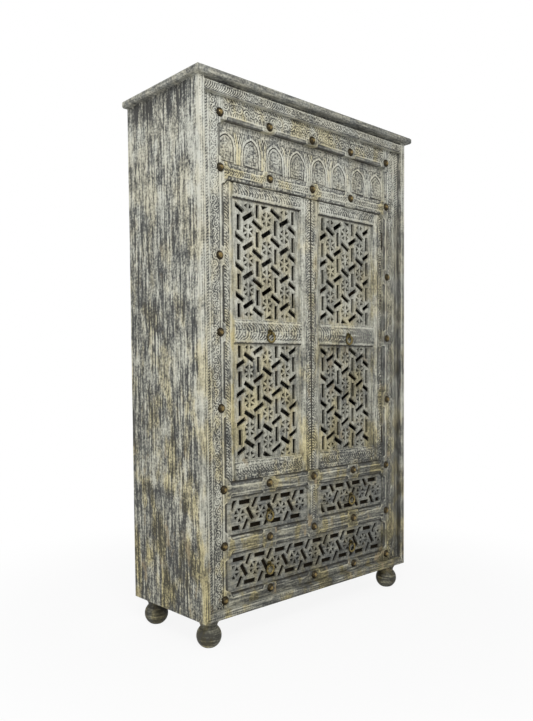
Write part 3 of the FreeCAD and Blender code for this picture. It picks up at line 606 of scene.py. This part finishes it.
def limed_wood(name, grain, lime, ochre, speckle, streaks, blotches, hollow=None, rise=PAINTED_LIGHT_RISE):
    """Limed wood with its own grain. The wash gets paler upwards and to the left, painted light that
    falls from the upper left, and the yellow fades upwards. Hollow is an axis and the range along it
    over which holes' walls go dark, painted shade deep in the holes."""
    material, tree, shader, place = new_material(name)
    relief = mark(tree, "relief")
    parts = add(tree, "SeparateXYZ", {0: place}).outputs
    # Painted shade: the walls of the holes go dark deeper in
    if hollow:
        axis, start, end = hollow
        sunk = eased(tree, parts[axis], start * MM, end * MM)
        relief = scaled(tree, sunk, HOLE_SHADE_RELIEF, relief)
    # Painted light: the wash gets paler upwards and to the left
    lime_and_painted_light = scaled(tree, parts["Z"], rise, lime - rise)
    falling = scaled(tree, parts["Z"], -OCHRE_FALL, ochre + OCHRE_FALL)
    wood = add(tree, "Group", {
        "Place": place, "Grain": stretched(tree, place, *GRAIN[grain]), "Relief": relief,
        "Edge": mark(tree, "edge"), "Speckle": speckle, "Streaks": streaks, "Blotches": blotches,
        "Lime": scaled(tree, parts["X"], -PAINTED_LIGHT_LEFT, lime_and_painted_light),
        "Ochre": maths(tree, "ADD", mark(tree, "tint"), falling)}, node_tree=LIMED_GROUP).outputs
    feed(tree, shader, {"Base Color": wood["Color"], "Roughness": wood["Roughness"],
                        "Specular IOR Level": 0.3, "Normal": bump(tree, wood["Height"], 0.6)})
    return material


def make_inner_wood():
    """Dark unpainted board with a fine grain, painted near black as shade just behind the drawer
    fronts.
    """
    material, tree, shader, place = new_material("inner_wood")
    streak = noise(tree, stretched(tree, place, *GRAIN["x"]), 160.0, 4.0, 0.65)
    patch = noise(tree, place, 6.0, 2.0)
    share = eased(tree, scaled(tree, patch, 0.4, streak), 0.5, 1.0)
    shade = blend(tree, share, colour(DARK_BOARD), colour(BARE_BROWN))
    # Painted shade: the face just behind the pierced drawer fronts is near black
    y = add(tree, "SeparateXYZ", {0: place}).outputs["Y"]
    shaded_behind_front = eased(tree, y, BACKING_SHADE[0] * MM, BACKING_SHADE[1] * MM)
    feed(tree, shader, {"Base Color": blend(tree, shaded_behind_front, colour(SHADE_BLACK), shade),
                        "Roughness": 0.8, "Specular IOR Level": 0.1,
                        "Normal": bump(tree, streak, 0.3)})
    return material


def aged_metal(name, dark, bright, metallic, smoothest, roughest):
    """Metal with a dark skin, rubbed bright in spots and where the relief mark is high; on the studs
    that mark paints a highlight on the dome's top and shade at its rim.
    """
    material, tree, shader, place = new_material(name)
    skin = noise(tree, place, 160.0, 4.0, 0.65)
    highlight_and_wear = eased(tree, scaled(tree, mark(tree, "relief"), 0.4, skin), 0.42, 0.72)
    feed(tree, shader, {"Base Color": blend(tree, highlight_and_wear, colour(dark), colour(bright)),
                        "Roughness": scaled(tree, highlight_and_wear, smoothest - roughest, roughest),
                        "Metallic": metallic, "Normal": bump(tree, skin, 0.15)})
    return material


# Finishes of limed wood: grain, lime, ochre, speckle, streaks, blotches, hollow (painted shade
# in holes), rise (painted light upwards)
LIMED_GROUP = make_limed_group()
WOODS = {name: limed_wood(name, *finish) for name, *finish in (
    ("carved_upright", "z", 0.09, 0.40, 0.9, 0.5, 0.7),
    ("carved_level", "x", 0.05, 0.45, 0.7, 0.42, 0.6),
    ("door_upright", "z", 0.09, 0.40, 0.9, 0.5, 0.8),
    ("door_level", "x", 0.08, 0.45, 0.9, 0.45, 0.8),
    ("arch_board", "z", 0.12, 0.30, 1.0, 0.35, 0.6),
    ("side_board", "z", -0.075, 0.45, 1.5, 0.95, 0.85, None, 0.08),
    ("cornice_board", "top", -0.12, 0.5, 0.9, 0.5, 0.2),
    ("back_board", "z", -0.1, 0.4, 0.7, 1.0, 1.0),
    ("jali_door", "z", 0.16, 0.55, 0.7, 0.4, 0.6, ("Y", -143.0, -137.5)),
    ("jali_drawer", "x", 0.10, 0.0, 0.6, 0.35, 0.5, ("Y", -156.0, -150.0)),
    # The feet's wood in two copies: darker for the feet in shade, painted shade, and paler for the lit
    # front left foot, painted light
    ("foot_wood", "level", -0.16, 2.6, 0.6, 0.8, 1.2),
    ("lit_foot_wood", "level", 0.06, 2.6, 0.6, 0.8, 1.2))}
INNER_WOOD = make_inner_wood()

# Metals: skin, bright metal of rubbed places and painted highlights, metallic share, roughness where
# bright and where not
BRONZE = aged_metal("bronze", (0.034, 0.026, 0.013), (0.25, 0.18, 0.07), 0.8, 0.30, 0.48)
BRASS = aged_metal("brass", (0.035, 0.028, 0.011), (0.22, 0.17, 0.058), 0.75, 0.32, 0.50)
IRON = aged_metal("iron", (0.02, 0.018, 0.015), (0.16, 0.14, 0.11), 0.8, 0.4, 0.65)


# Places that follow from the frame
def stud_places():
    """(x, z) of each stud, from the tips of the domes."""
    points = np.array([v.co for v in frame["nodes"]["frame_studs"].data.vertices]) / MM
    tips = points[points[:, 1] < points[:, 1].min() + STUD_TIP]
    return np.unique(np.round(tips[:, [0, 2]], 1), axis=0)


STUDS = stud_places()
STILE_LOW, STILE_HIGH = span("stile_right")
FACE_Y = STILE_LOW[1]
OPENING_HALF = span("head_rail")[1][0]
ARCH_LOW, ARCH_HIGH = span("arch_panel")
NOTCH_HALF = ARCH_HIGH[0]


# Front frame
def make_stile(side):
    """A stile. u is the distance from the openings: stopped chamfers beside them, a groove, curls
    in a sunk band, a groove, a low round, and a strip of leaning strokes beside the border."""
    wide = STILE_HIGH[0] - OPENING_HALF
    notch = NOTCH_HALF - OPENING_HALF
    grooves, vine_middle, round_middle, strip_middle = (20.5, 57.0), 38.5, 61.5, 76.5
    u, z = np.meshgrid(grid_lines(0, wide, FINE_STEP, STILE_LINES),
                       grid_lines(STILE_LOW[2], STILE_HIGH[2], FINE_STEP, [ARCH_LOW[2], ARCH_HIGH[2]]))
    at_arches = (z > ARCH_LOW[2] + LEAF_SHOW) & (z < ARCH_HIGH[2] - LEAF_SHOW)
    u = np.maximum(u, np.where(at_arches, notch, LEAF_SHOW))
    in_column = np.abs(np.abs(STUDS[:, 0]) - OPENING_HALF) < CHAMFER_WIDTH * 2
    centres = np.unique(STUDS[in_column, 1])
    rails = [span(n) for n in ("bottom_rail", "middle_rail", "drawer_rail", "head_rail", "frieze_rail")]
    gaps = [(a[1][2] + CORNER_LEG, b[0][2] - CORNER_LEG) for a, b in zip(rails, rails[1:])]
    chamfered = np.zeros_like(u)
    for gap in gaps:
        beside = u - (notch if gap == gaps[-1] else 0)
        chamfered = np.maximum(chamfered, chamfer(beside, z, runs_between(*gap, centres)))
    stray_u, stray_z = hand(u, z, 11, 26.0, 3.2)
    vine = curls(u + stray_u * 0.7 - vine_middle, z + stray_z, 25, 15.5, 2.2)
    uneven = 0.15 + 0.8 * lattice(u, z, 20, 26, 12)
    sunk = band(u, grooves[0], grooves[1] - 0.5) * (1 - vine) * GROUND_DEPTH * uneven
    strokes = 1 - feathers((u - strip_middle) / 10, z * -side, 9.0, 0.7)
    carved = sunk + band(u, 66, 86.5, 2) * strokes * 1.2
    carved = carved + sum(ridge(u - groove, 1.4) for groove in grooves) * 1.6
    carved = carved - ridge(u - round_middle, 4.0) * 0.7 + pitted(u, z, 3, 1.6) * band(u, 20, 66)
    # Painted shade on the chamfers' slopes, darker on the left stile than on the right, and a painted
    # highlight along their upper edges
    shaded_slope, highlight_and_wear = chamfer_shade_and_highlight(chamfered)
    dark = (2.0 if side < 0 else 0.9) * shaded_slope * (0.6 + 0.6 * lattice(u, z, 14, 45, 15))
    marks = carved * MARK_SHARE + dark - highlight_and_wear
    x, node = side * (OPENING_HALF + u), "stile_right" if side > 0 else "stile_left"
    show_front("carved_" + node, node, x, z, chamfered + carved, marks, "carved_upright")


def frieze_carving(x, up):
    """Leaning strokes under the strip, a bead, a vine of curls, and short ribs."""
    strokes = (1 - feathers((up - 63) / 7, x, 11.5, 0.55)) * band(up, 56, 70)
    vine = (1 - curls(up - 38, x, 29, 15.5)) * band(up, 23, 54)
    vine = vine * (0.4 + 0.8 * lattice(x, up, 26, 20, 13)) * 1.2
    bead = ridge(up - 55, 1.6) * 0.6
    ribs = (1 - feathers((up - 19) / 4, x, 8.0, 0.1)) * band(up, 15.5, 22.5)
    return (strokes + vine + ribs) * GROUND_DEPTH - bead + pitted(x, up, 7, 2.0) * band(up, 14, 72)


def head_carving(x, up):
    """A plait of strokes between the two chamfers."""
    plait = (1 - chevrons((up - 23) / 8, x, 10.0, 0.8)) * band(up, 15.5, 31)
    return plait * GROUND_DEPTH + pitted(x, up, 8)


def make_rail(node, carving, lower_width, upper_width, seed):
    """A rail: chamfers between the stud blocks, with painted shade on them and at the openings' edges
    and painted highlight lines along both sides, and its own carving, which leaves a plain pad under
    each stud."""
    low, high = span(node)
    x, z = front_grid(low, high, z_breaks=[low[2] + lower_width, high[2] - upper_width])
    near = (STUDS[:, 1] > low[2]) & (STUDS[:, 1] < high[2]) & (np.abs(STUDS[:, 0]) < high[0])
    runs = runs_between(low[0] + CORNER_LEG, high[0] - CORNER_LEG, STUDS[near, 0])
    depth, rim = np.zeros_like(x), np.full_like(x, np.inf)
    for beside, width in ((z - low[2], lower_width), (high[2] - z, upper_width)):
        if width:
            depth = np.maximum(depth, chamfer(beside, x, runs, width))
            rim = np.minimum(rim, beside)
    pads = np.zeros_like(x)
    for stud_x, stud_z in STUDS[near]:
        pad = band(x, stud_x - PAD_HALF_X, stud_x + PAD_HALF_X, 2)
        pads = np.maximum(pads, pad * band(z, stud_z - PAD_HALF_Z, stud_z + PAD_HALF_Z, 2))
    stray_x, stray_z = hand(x, z, seed, 24.0, 2.6)
    carved = carving(x + stray_x, z - low[2] + stray_z * 0.4) * (1 - pads)
    carved = carved + tool_marks(x, z) * 0.4
    # Painted shade on the chamfers' slopes and in a dark line at the opening's edge, and a painted
    # highlight where they meet the face
    shaded_slope, highlight_and_wear = chamfer_shade_and_highlight(depth)
    marks = carved * MARK_SHARE - highlight_and_wear + 0.9 * band(depth, 1.0, 2.0, 0.3) + 0.2 * shaded_slope
    marks = marks + 1.8 * band(rim, -1, 2.2, 0.8) * (depth > 0.2)
    tint = 0.6 * (1 - shaded_slope)
    show_front("carved_" + node, node, x, z, depth + carved, marks, "carved_level", tint)


def make_divider():
    """The post between the small drawers, with a plait of leaves up its middle."""
    low, high = span("drawer_divider")
    x, z = front_grid(low, high)
    run = [(low[2] + CORNER_LEG, high[2] - CORNER_LEG)]
    depth = np.maximum(chamfer(x - low[0], z, run), chamfer(high[0] - x, z, run))
    carved = (1 - chevrons(x / 8, z, 8.5, 0.8)) * band(np.abs(x), -8, 8) * GROUND_DEPTH
    show_front("carved_divider", "drawer_divider", x, z, depth + carved, carved, "carved_upright")


def arch_distance(x, up):
    """How far inside a pointed arch a place lies: below the spring, from the leg and the base, and
    above it, from an arc that springs upright and passes through the point."""
    rise = ARCH_POINT - ARCH_SPRING
    radius = (rise ** 2 + ARCH_HALF ** 2) / (2 * ARCH_HALF)
    arc = radius - np.hypot(np.abs(x) + radius - ARCH_HALF, np.maximum(up - ARCH_SPRING, 0))
    return np.minimum(arc, up - ARCH_BASE)


def make_arch_panel():
    """A row of pointed arches: a worn raised rim, a groove and a fine line inside it, and bars
    and pegs in the field. Between them stand columns that lean apart upwards, with leaning cuts
    above and a row of ticks along the top."""
    pitch = (2 * NOTCH_HALF - 2 * ARCH_END) / (ARCH_COUNT - 1)
    x, z = front_grid(ARCH_LOW, ARCH_HIGH, ARCH_STEP)
    stray_x, stray_z = hand(x, z, 31, 30, 2.4)
    up = z - ARCH_LOW[2] + stray_z
    from_first = x + stray_x + NOTCH_HALF - ARCH_END
    local = from_first - np.clip(np.round(from_first / pitch), 0, ARCH_COUNT - 1) * pitch
    inside = arch_distance(local, up)
    rim = ridge(inside + 3.6, 4.6) * (0.35 + 0.65 * lattice(x, z, 16, 12, 37))
    groove = band(inside, 1.0, 4.5, 1.5)
    line = band(inside, 12.5, 15.5, 1.5)
    bars = ridge((up - 14) % 12 - 6, 1.8) * band(np.abs(local), -9, 9, 2) * band(up, 14, 70, 2)
    pegs = ridge(np.abs(local) - 5, 1.8) * band(up, 6, 26, 3)
    outside = ease(-(inside + 5) / 2)
    between = np.abs(pitch / 2 - np.abs(local))
    lean = 0.0042 * np.maximum(up - 34, 0) ** 1.9
    column = ridge(between - 4.5 - lean, 5.6) * ease((108 - up) / 8)
    fan = between + 0.25 * (up - 78)
    cuts = ridge(np.abs((fan + 4) % 8 - 4), 2.0) * band(up, 74 - between * 0.5, 107, 6)
    cuts = cuts * band(between, -1, 24, 3) * (lattice(x, up, 7, 9, 35) > 0.25)
    ticks = (1 - feathers((up - 120) / 6, x, 7.5, 0.25)) * band(up, 113.5, 127)
    carved = groove * 2.2 + line * 0.5 - (bars + pegs) * 0.6 + ease(inside / 3) * 1.2
    carved = carved + outside * (1 - column)
    carved = (carved - (rim + column * outside * 1.6)) * band(up, 5, 112, 2)
    carved = carved + cuts * outside * 3.6 + ticks * 1.7
    carved = carved * (0.35 + 0.6 * lattice(x, z, 22, 18, 36))
    carved = carved + (lattice(x, z, 9, 9, 32) - 0.5) * 0.8 + pitted(x, z, 33, 1.0)
    tint = column * outside * 0.5 + lattice(x, z, 40, 40, 34) * 0.3
    show_front("carved_arch_panel", "arch_panel", x, z, carved + ARCH_SINK, carved, "arch_board", tint)


def make_strip():
    """The carved strip under the cornice: loops and leaning strokes in turn, over a groove."""
    low, high = span("cornice_strip")
    x, z = front_grid(low, high)
    up = z - low[2]
    sx = x + hand(x, z, 41, 26.0, 2.4)[0]
    strokes = 1 - feathers((up - 15) / 9, sx, 8.5, -0.7, 0.4)
    loops = 1 - curls(up - 15, sx, 15, 8)
    turn = ease((lattice(x, up * 0, 95, 50, 42) - 0.45) / 0.1)
    carved = (strokes * (1 - turn) + loops * turn) * band(up, 4, 26) * GROUND_DEPTH * 1.2
    carved = carved + ridge(up - 2.2, 1.5) * 1.2 + pitted(x, z, 9)
    show_front("carved_strip", "cornice_strip", x, z, carved, carved, "carved_level")


def make_border(node):
    """A border moulding: a flat round with small punched dots, shortened by a mitre. Length runs
    along it and share across it. The upright ones carry leaning dashes between two grooves."""
    low, high = span(node)
    size, side, upright = high - low, 1 if low[0] > 0 else -1, node != "border_bottom"
    if upright:
        wide = size[0]
        t, along = np.meshgrid(grid_lines(0, wide, BORDER_STEP),
                               np.linspace(0, 1, round(size[2] / BORDER_RUN_STEP) + 1))
        from_inner = t if side < 0 else wide - t
        foot = low[2] + from_inner * (SIDE_MITRE / wide)
        x, z = low[0] + t, foot + (high[2] - foot) * along
        length, share = z, t / wide
    else:
        wide = size[2]
        along, t = np.meshgrid(np.linspace(0, 1, round(size[0] / BORDER_RUN_STEP) + 1),
                               grid_lines(0, wide, BORDER_STEP))
        inset = t * (BOTTOM_MITRE / wide)
        x, z = low[0] + inset + (size[0] - 2 * inset) * along, low[2] + t
        length, share = x, t / wide
    crown = (1 - ridge(share * 2 - 1, 1.25)) * 4.0
    dots = ridge(np.hypot((length + 7 * np.floor(share * 4)) % 9 - 4.5, (share * 4) % 1 * 5 - 2.5), 1.7)
    carved = dots * 0.7 * (lattice(length, share * 20, 30, 8, 51) > 0.35)
    carved = carved + (lattice(share * 22, length, 3.5, 60, 52) - 0.5) * 0.9
    marks = carved
    if upright:
        dashes = 1 - feathers((from_inner - 16.5) / 4, z, 9.5, -0.6 * side)
        dashes = dashes * band(from_inner, 12.5, 20.5)
        grooves = band(from_inner, 10.3, 12.3) + band(from_inner, 20.5, 23)
        carved = carved * (from_inner < 10) + (dashes + grooves) * 1.6
        marks = carved - 1.1 * band(from_inner, 13, 20) - 0.6 * band(from_inner, -1, 3)
        marks = marks + 0.35 * (side < 0) * band(from_inner, 4, 9)
    wood = "carved_upright" if upright else "carved_level"
    show_front("moulded_" + node, node, x, z, crown + carved, marks, wood)


# Doors
def door_stile(door, part, outer_sign, seed):
    """A door stile: leaves cut in its outer band, then a hollow bevel down to the panel. A hinge
    stile's outer edge is cut back at its ends."""
    node = door + "_" + part
    low, high = span(node)
    wide = high[0] - low[0]
    outer_x = high[0] if outer_sign > 0 else low[0]
    t, z = np.meshgrid(grid_lines(0, wide, FINE_STEP, DOOR_LINES),
                       grid_lines(low[2], high[2], FINE_STEP))
    short = 0.0
    if part == "hinge_stile":
        short = np.maximum(DOOR_LEG - np.minimum(z - low[2], high[2] - z), 0) + LEAF_SHOW
    x = outer_x - outer_sign * (short + t * (1 - short / wide))
    outer = np.abs(x - outer_x)
    stray_u, stray_z = hand(x, z, seed, 17, 3.6)
    leaves = 1 - feathers((outer + stray_u - 12) / 11, z + stray_z, 9.5, 0.8, 0.5)
    leaves = leaves * (0.35 + lattice(x, z, 13, 17, seed + 5))
    carved = leaves * band(outer, 2, 23) * GROUND_DEPTH * 0.9 + ridge(outer - 24.5, 1.3) * 1.2
    carved = carved + pitted(x, z, seed, 1.6) * band(outer, 1, 26)
    share = np.clip((outer - STILE_BEVEL_START) / (wide - STILE_BEVEL_START), 0, 1)
    depth = carved + share ** 1.6 * STILE_BEVEL_DEPTH + tool_marks(z, x) * 0.5
    marks = carved * MARK_SHARE - ease((outer - 27) / 6) * 0.6 * lattice(x, z, 20, 90, seed + 6)
    # Painted shade in a dark line along the outer edge, at the gap, and a painted highlight in a pale
    # line just inside it
    marks = marks + 2.4 * band(outer, -2, 2.2, 0.8) - 0.6 * band(outer, 3.5, 6)
    yellow = np.where(z < 1000, 1.5, 0.15) * (node == "left_door_hinge_stile")
    tint = ease((outer - 25) / 6) * yellow + 0.4 * lattice(x, z, 30, 60, seed + 7)
    show_front("carved_" + node, node, x, z, depth, marks, "door_upright", tint, door)


def door_rail(door, part, seed):
    """A door rail with leaf strokes and a bevel towards each panel."""
    node = door + "_" + part
    low, high = span(node)
    x, z = front_grid(low, high)
    up, down = z - low[2], high[2] - z
    stray_x, stray_z = hand(x, z, seed, 18, 3.2)
    sx, su = x + stray_x, up + stray_z * 0.6
    rows = sum((1 - feathers((su - middle) / half, sx, pitch, lean, bend)) * band(up, start, end)
               for middle, half, pitch, lean, bend, start, end in RAIL_LEAVES[part])
    rows = rows * (0.35 + lattice(x, z, 16, 12, seed + 4))
    carved = rows * GROUND_DEPTH * 0.95 + pitted(x, z, seed, 1.5)
    bevel, marks = np.zeros_like(x), carved * MARK_SHARE
    if part != "bottom_rail":
        bevel = np.clip(1 - up / RAIL_BEVEL_WIDTH, 0, 1)
        # Painted shade in a dark line along the lower edge, and a painted highlight on the lip above it
        marks = marks + 3.4 * band(up, -1, 3.2, 0.8) - band(up, 4.5, 8)
    if part != "top_rail":
        bevel = np.maximum(bevel, np.clip(1 - down / RAIL_BEVEL_WIDTH, 0, 1))
        # Painted highlight in a pale line along the upper edge
        marks = marks - 1.2 * band(down, -1, 3)
    depth = carved + bevel * RAIL_BEVEL_DEPTH + tool_marks(x, z) * 0.5
    show_front("carved_" + node, node, x, z, depth, marks, "door_level", body=door)


# Metal
def make_stud(index, x, z):
    """A domed stud: a cap of a ball on a thin flange, with a small boss on top. The ball's radius
    is the squared radius plus the squared height over twice the height."""
    inner, dome = STUD_RADIUS - STUD_FLANGE, STUD_HEIGHT - STUD_FLANGE
    r = np.concatenate([[STUD_RADIUS, STUD_RADIUS], np.linspace(inner, STUD_BOSS + 0.5, 9),
                        [STUD_BOSS, STUD_BOSS * 0.6, 0]])
    ball = (inner ** 2 + dome ** 2) / (2 * dome)
    cap = np.sqrt(ball ** 2 - r ** 2) - (ball - dome) + STUD_FLANGE
    y = np.concatenate([[0, STUD_FLANGE], cap[2:11],
                        [STUD_HEIGHT, STUD_HEIGHT + 0.3, STUD_HEIGHT + 0.4]])
    # Painted highlight on the dome's top and painted shade at its rim, through the relief mark
    relief = np.clip((STUD_RADIUS - r) / STUD_RADIUS * 1.6 - 0.8, -1, 1)
    return turned_mesh("stud_%02d" % index, np.stack([r, y], -1), (x, FACE_Y, z), "y", STUD_SIDES,
                       {"relief": np.repeat(relief, STUD_SIDES)})


def make_studs():
    """All the studs as one piece: each is a dome of its own."""
    work = bmesh.new()
    for index, (x, z) in enumerate(STUDS):
        mesh = make_stud(index, x, z)
        work.from_mesh(mesh)
        bpy.data.meshes.remove(mesh)
    joined = bpy.data.meshes.new("domed_studs")
    work.to_mesh(joined)
    work.free()
    show("domed_studs", joined, "carcass", BRONZE, ["frame_studs"])


def make_ring(node):
    """A pull ring: an ellipse, wide in the ring's plane and thinner across it, carried round a
    circle, with shallow waves along the wire."""
    low, high = span(node)
    x, y, z = (low + high) / 2
    turn, spin = np.meshgrid(TAU * np.arange(RING_SIDES) / RING_SIDES,
                             TAU * np.arange(WIRE_SIDES) / WIRE_SIDES, indexing="ij")
    wave = 1 + 0.05 * np.cos(turn * RING_NOTCHES)
    reach = RING_RADIUS + WIRE_HALF_WIDE * np.cos(spin) * wave
    points = np.stack([x + reach * np.sin(turn), y + WIRE_HALF_THICK * np.sin(spin) * wave,
                       z + reach * np.cos(turn)], -1)
    number = np.arange(RING_SIDES * WIRE_SIDES).reshape(RING_SIDES, WIRE_SIDES)
    onward, over = np.roll(number, -1, 0), np.roll(number, -1, 1)
    faces = np.stack([number, over, np.roll(onward, -1, 1), onward], -1).reshape(-1, 4)
    relief = -0.4 * np.cos(spin) - 0.3 * np.sin(spin)
    mesh = make_mesh("brass_" + node, points.reshape(-1, 3), [faces], {"relief": relief})
    show("brass_" + node, mesh, node, BRASS, [node])


# Feet and the plain carcass
def make_foot(node, wood):
    """A turned ball foot: part of a ball with a groove round it, then a hollow that widens by a
    power of the height, and a collar."""
    low, high = span(node)
    top = high[2]
    centre = math.sqrt(BALL_RADIUS ** 2 - SOLE_RADIUS ** 2)
    turn = np.linspace(-math.acos(SOLE_RADIUS / BALL_RADIUS), math.acos(NECK_RADIUS / BALL_RADIUS), 34)
    ball = np.stack([BALL_RADIUS * np.cos(turn), centre + BALL_RADIUS * np.sin(turn)], -1)
    start = ball[-1, 1]
    rise = np.linspace(0, 1, 8)[1:]
    hollow = np.stack([NECK_RADIUS + (COLLAR_RADIUS - NECK_RADIUS) * rise ** 2.2,
                       start + (top - 12 - start) * rise], -1)
    rim = [(COLLAR_RADIUS + 0.4, top - 10.5), (COLLAR_RADIUS + 0.4, top - 1.5), (COLLAR_RADIUS, top)]
    profile = np.concatenate([ball, hollow, rim])
    profile[:, 0] -= ridge(profile[:, 1] - centre - 22, 1.2) * 0.8
    profile[0] = (SOLE_RADIUS, 0)
    middle = ((low[0] + high[0]) / 2, (low[1] + high[1]) / 2, 0)
    mesh = turned_mesh("turned_" + node, profile, middle, "z", FOOT_SIDES)
    show("turned_" + node, mesh, "carcass", WOODS[wood], [node])


def make_side(node):
    """A side board: shallow upright ribs, some broad and some fine, worn away in places. It is darker
    for a ragged stretch under the cornice, and the front edge is pale."""
    low, high = span(node)
    left = low[0] < 0
    y, z = np.meshgrid(grid_lines(low[1], high[1] - LEAF_SHOW, SIDE_STEP),
                       grid_lines(low[2], high[2], SIDE_RUN_STEP))
    broad = lattice(y + 4 * (lattice(y, z, 60, 300, 61) - 0.5), z, 8.0, 190.0, 62 + left)
    fine = lattice(y, z, 3.4, 90.0, 64 + left)
    worn = lattice(y, z, 70, 110, 66 + left)
    carved = (0.62 * broad + 0.38 * fine) * (0.45 + 0.55 * worn) * 1.5
    dark_reach = 45 + 60 * lattice(y, z * 0, 24, 50, 68)
    marks = (carved - 0.7) * 1.6 + 1.6 * ease((z - high[2] + dark_reach) / 60)
    marks = marks - 0.45 * ease((60 - (y - low[1])) / 12) + 1.2 * ease((4 + low[2] - z) / 3)
    across, place = y, facing("right", high[0])
    if left:
        across, place = -y[:, ::-1], facing("left", low[0])
        z, carved, marks = z[:, ::-1], carved[:, ::-1], marks[:, ::-1]
    mesh = board_mesh("ribbed_" + node, across, z, carved, high[0] - low[0], place, marks)
    show("ribbed_" + node, mesh, "carcass", WOODS["side_board"], [node])


def finish_cad_nodes():
    """Rounded copies of nodes whose own edges are seen, and materials for the others left."""
    for node, piece in frame["nodes"].items():
        if piece.hide_render:
            continue
        if node.endswith(("_jali", "drawer_front")):
            wood = "jali_door" if node.endswith("_jali") else "jali_drawer"
            cad_copy(node, "pierced_" + node, WOODS[wood])
        elif node == "cornice":
            cad_copy(node, "top_board", WOODS["cornice_board"], 1.6, 3)
        elif node == "corner_blocks":
            cad_copy(node, "rounded_corner_blocks", WOODS["carved_level"], 0.6)
        elif "pull_plate" in node:
            cad_copy(node, "brass_" + node, BRASS, 0.5)
        else:
            wood = WOODS["back_board"] if node == "back_panel" else INNER_WOOD
            piece.data.materials.clear()
            piece.data.materials.append(IRON if "hinge_leaves" in node else wood)


for sign in (-1, 1):
    make_stile(sign)
make_rail("frieze_rail", frieze_carving, CHAMFER_WIDTH, 0, 21)
make_rail("head_rail", head_carving, CHAMFER_WIDTH, HEAD_UPPER_CHAMFER_WIDTH, 22)
make_rail("drawer_rail", tool_marks, CHAMFER_WIDTH, CHAMFER_WIDTH, 23)
make_rail("middle_rail", tool_marks, CHAMFER_WIDTH, CHAMFER_WIDTH, 24)
make_rail("bottom_rail", tool_marks, 0, CHAMFER_WIDTH, 25)
make_divider()
make_arch_panel()
make_strip()
make_border("border_left")
make_border("border_right")
make_border("border_bottom")
for door_name, hinge_sign in (("left_door", -1), ("right_door", 1)):
    door_stile(door_name, "hinge_stile", hinge_sign, 71)
    door_stile(door_name, "meeting_stile", -hinge_sign, 73)
    for offset, rail_name in enumerate(("top_rail", "middle_rail", "bottom_rail")):
        door_rail(door_name, rail_name, 75 + offset * 2 + hinge_sign)
make_studs()
for body_name in frame["bodies"]:
    if "ring" in body_name:
        make_ring(body_name)
# The front left foot gets the paler copy of the feet's wood, painted light, and the others the darker
# one, painted shade
for corner in ("front_left", "front_right", "back_left", "back_right"):
    make_foot("foot_" + corner, "lit_foot_wood" if corner == "front_left" else "foot_wood")
make_side("side_panel_left")
make_side("side_panel_right")
finish_cad_nodes()


# Stage: a pale floor, a plain sky and soft lamps
def seen_directly(tree):
    """1 for rays from the camera, and for those that metal or glass send on."""
    path = add(tree, "LightPath").outputs
    sent_on = maths(tree, "MAXIMUM", path["Is Glossy Ray"], path["Is Transmission Ray"])
    return maths(tree, "MAXIMUM", path["Is Camera Ray"], sent_on)


def make_floor():
    """A floor that keeps the shadow near the cabinet and turns plain white away from it."""
    mesh = bpy.data.meshes.new("floor")
    corners = [(x * FLOOR_REACH, y * FLOOR_REACH, 0) for x, y in ((-1, -1), (1, -1), (1, 1), (-1, 1))]
    mesh.from_pydata(corners, [], [(0, 1, 2, 3)])
    floor = in_scene("floor", mesh)
    material = bpy.data.materials.new("pale_floor")
    tree = empty_tree(material)
    place = add(tree, "TexCoord").outputs["Object"]
    tone = blend(tree, noise(tree, place, 3.0), *(colour(rgb) for rgb in FLOOR_TONES))
    matt = add(tree, "BsdfDiffuse", {"Color": tone})
    white = add(tree, "Emission", {"Color": WHITE, "Strength": 1.0})
    away = add(tree, "VectorMath", {0: place}, operation="LENGTH").outputs["Value"]
    whiteness = scaled(tree, eased(tree, away, *FLOOR_FADE), 1.0 - FLOOR_WHITE_NEAR,
                      FLOOR_WHITE_NEAR)
    mixed = add(tree, "MixShader", {0: scaled(tree, seen_directly(tree), whiteness),
                                    1: matt.outputs[0], 2: white.outputs[0]})
    add(tree, "OutputMaterial", {"Surface": mixed.outputs[0]})
    mesh.materials.append(material)


def make_sky():
    """A plain white sky that lights the object less than it shows."""
    world = bpy.data.worlds.new("studio")
    bpy.context.scene.world = world
    tree = empty_tree(world)
    strength = scaled(tree, seen_directly(tree), 1.0 - SKY_STRENGTH, SKY_STRENGTH)
    sky = add(tree, "Background", {"Color": WHITE, "Strength": strength})
    add(tree, "OutputWorld", {"Surface": sky.outputs[0]})


def make_lamp(name, place, target, size, power):
    """A square soft lamp that points at the target."""
    lamp = bpy.data.lights.new(name, "AREA")
    lamp.size = size
    lamp.energy = power
    holder = in_scene(name, lamp)
    holder.location = place
    holder.rotation_mode = "QUATERNION"
    holder.rotation_quaternion = (Vector(target) - Vector(place)).to_track_quat("-Z", "Y")


def make_camera():
    """The photograph's view: place (metres), turn from the front, tilt and roll (radians), and the
    focal length and picture centre in pixels of its 533 by 721 frame."""
    focal_px, centre_x_px, centre_y_px, wide_px, tall_px = 707.25, 262.306, 402.9, 533, 721
    yaw, pitch, roll = 0.74285, -0.04649, -0.00834
    place = (-1.83349, -1.8983, 0.88049)
    camera = bpy.data.cameras.new("photo_view")
    camera.sensor_fit = "HORIZONTAL"
    camera.sensor_width = 36.0
    camera.lens = camera.sensor_width * focal_px / wide_px
    camera.shift_x = (wide_px / 2 - centre_x_px) / wide_px
    camera.shift_y = (centre_y_px - tall_px / 2) / wide_px
    holder = in_scene("photo_view", camera)
    turn = Matrix.Rotation(-yaw, 4, "Z") @ Matrix.Rotation(math.pi / 2 + pitch, 4, "X")
    holder.matrix_world = Matrix.Translation(place) @ turn @ Matrix.Rotation(roll, 4, "Z")
    bpy.context.scene.camera = holder


make_floor()
make_sky()
make_lamp("key_lamp", (-1.7, -2.3, 2.7), (-0.2, 0, 1.2), 1.2, 52.0)
make_lamp("side_lamp", (-3.4, -0.1, 1.7), (-0.5, 0, 1.0), 2.0, 18.0)
make_lamp("top_lamp", (0.2, 0.6, 3.6), (0, 0, 1.0), 2.4, 12.0)
make_camera()
bpy.context.scene.view_settings.view_transform = "Standard"
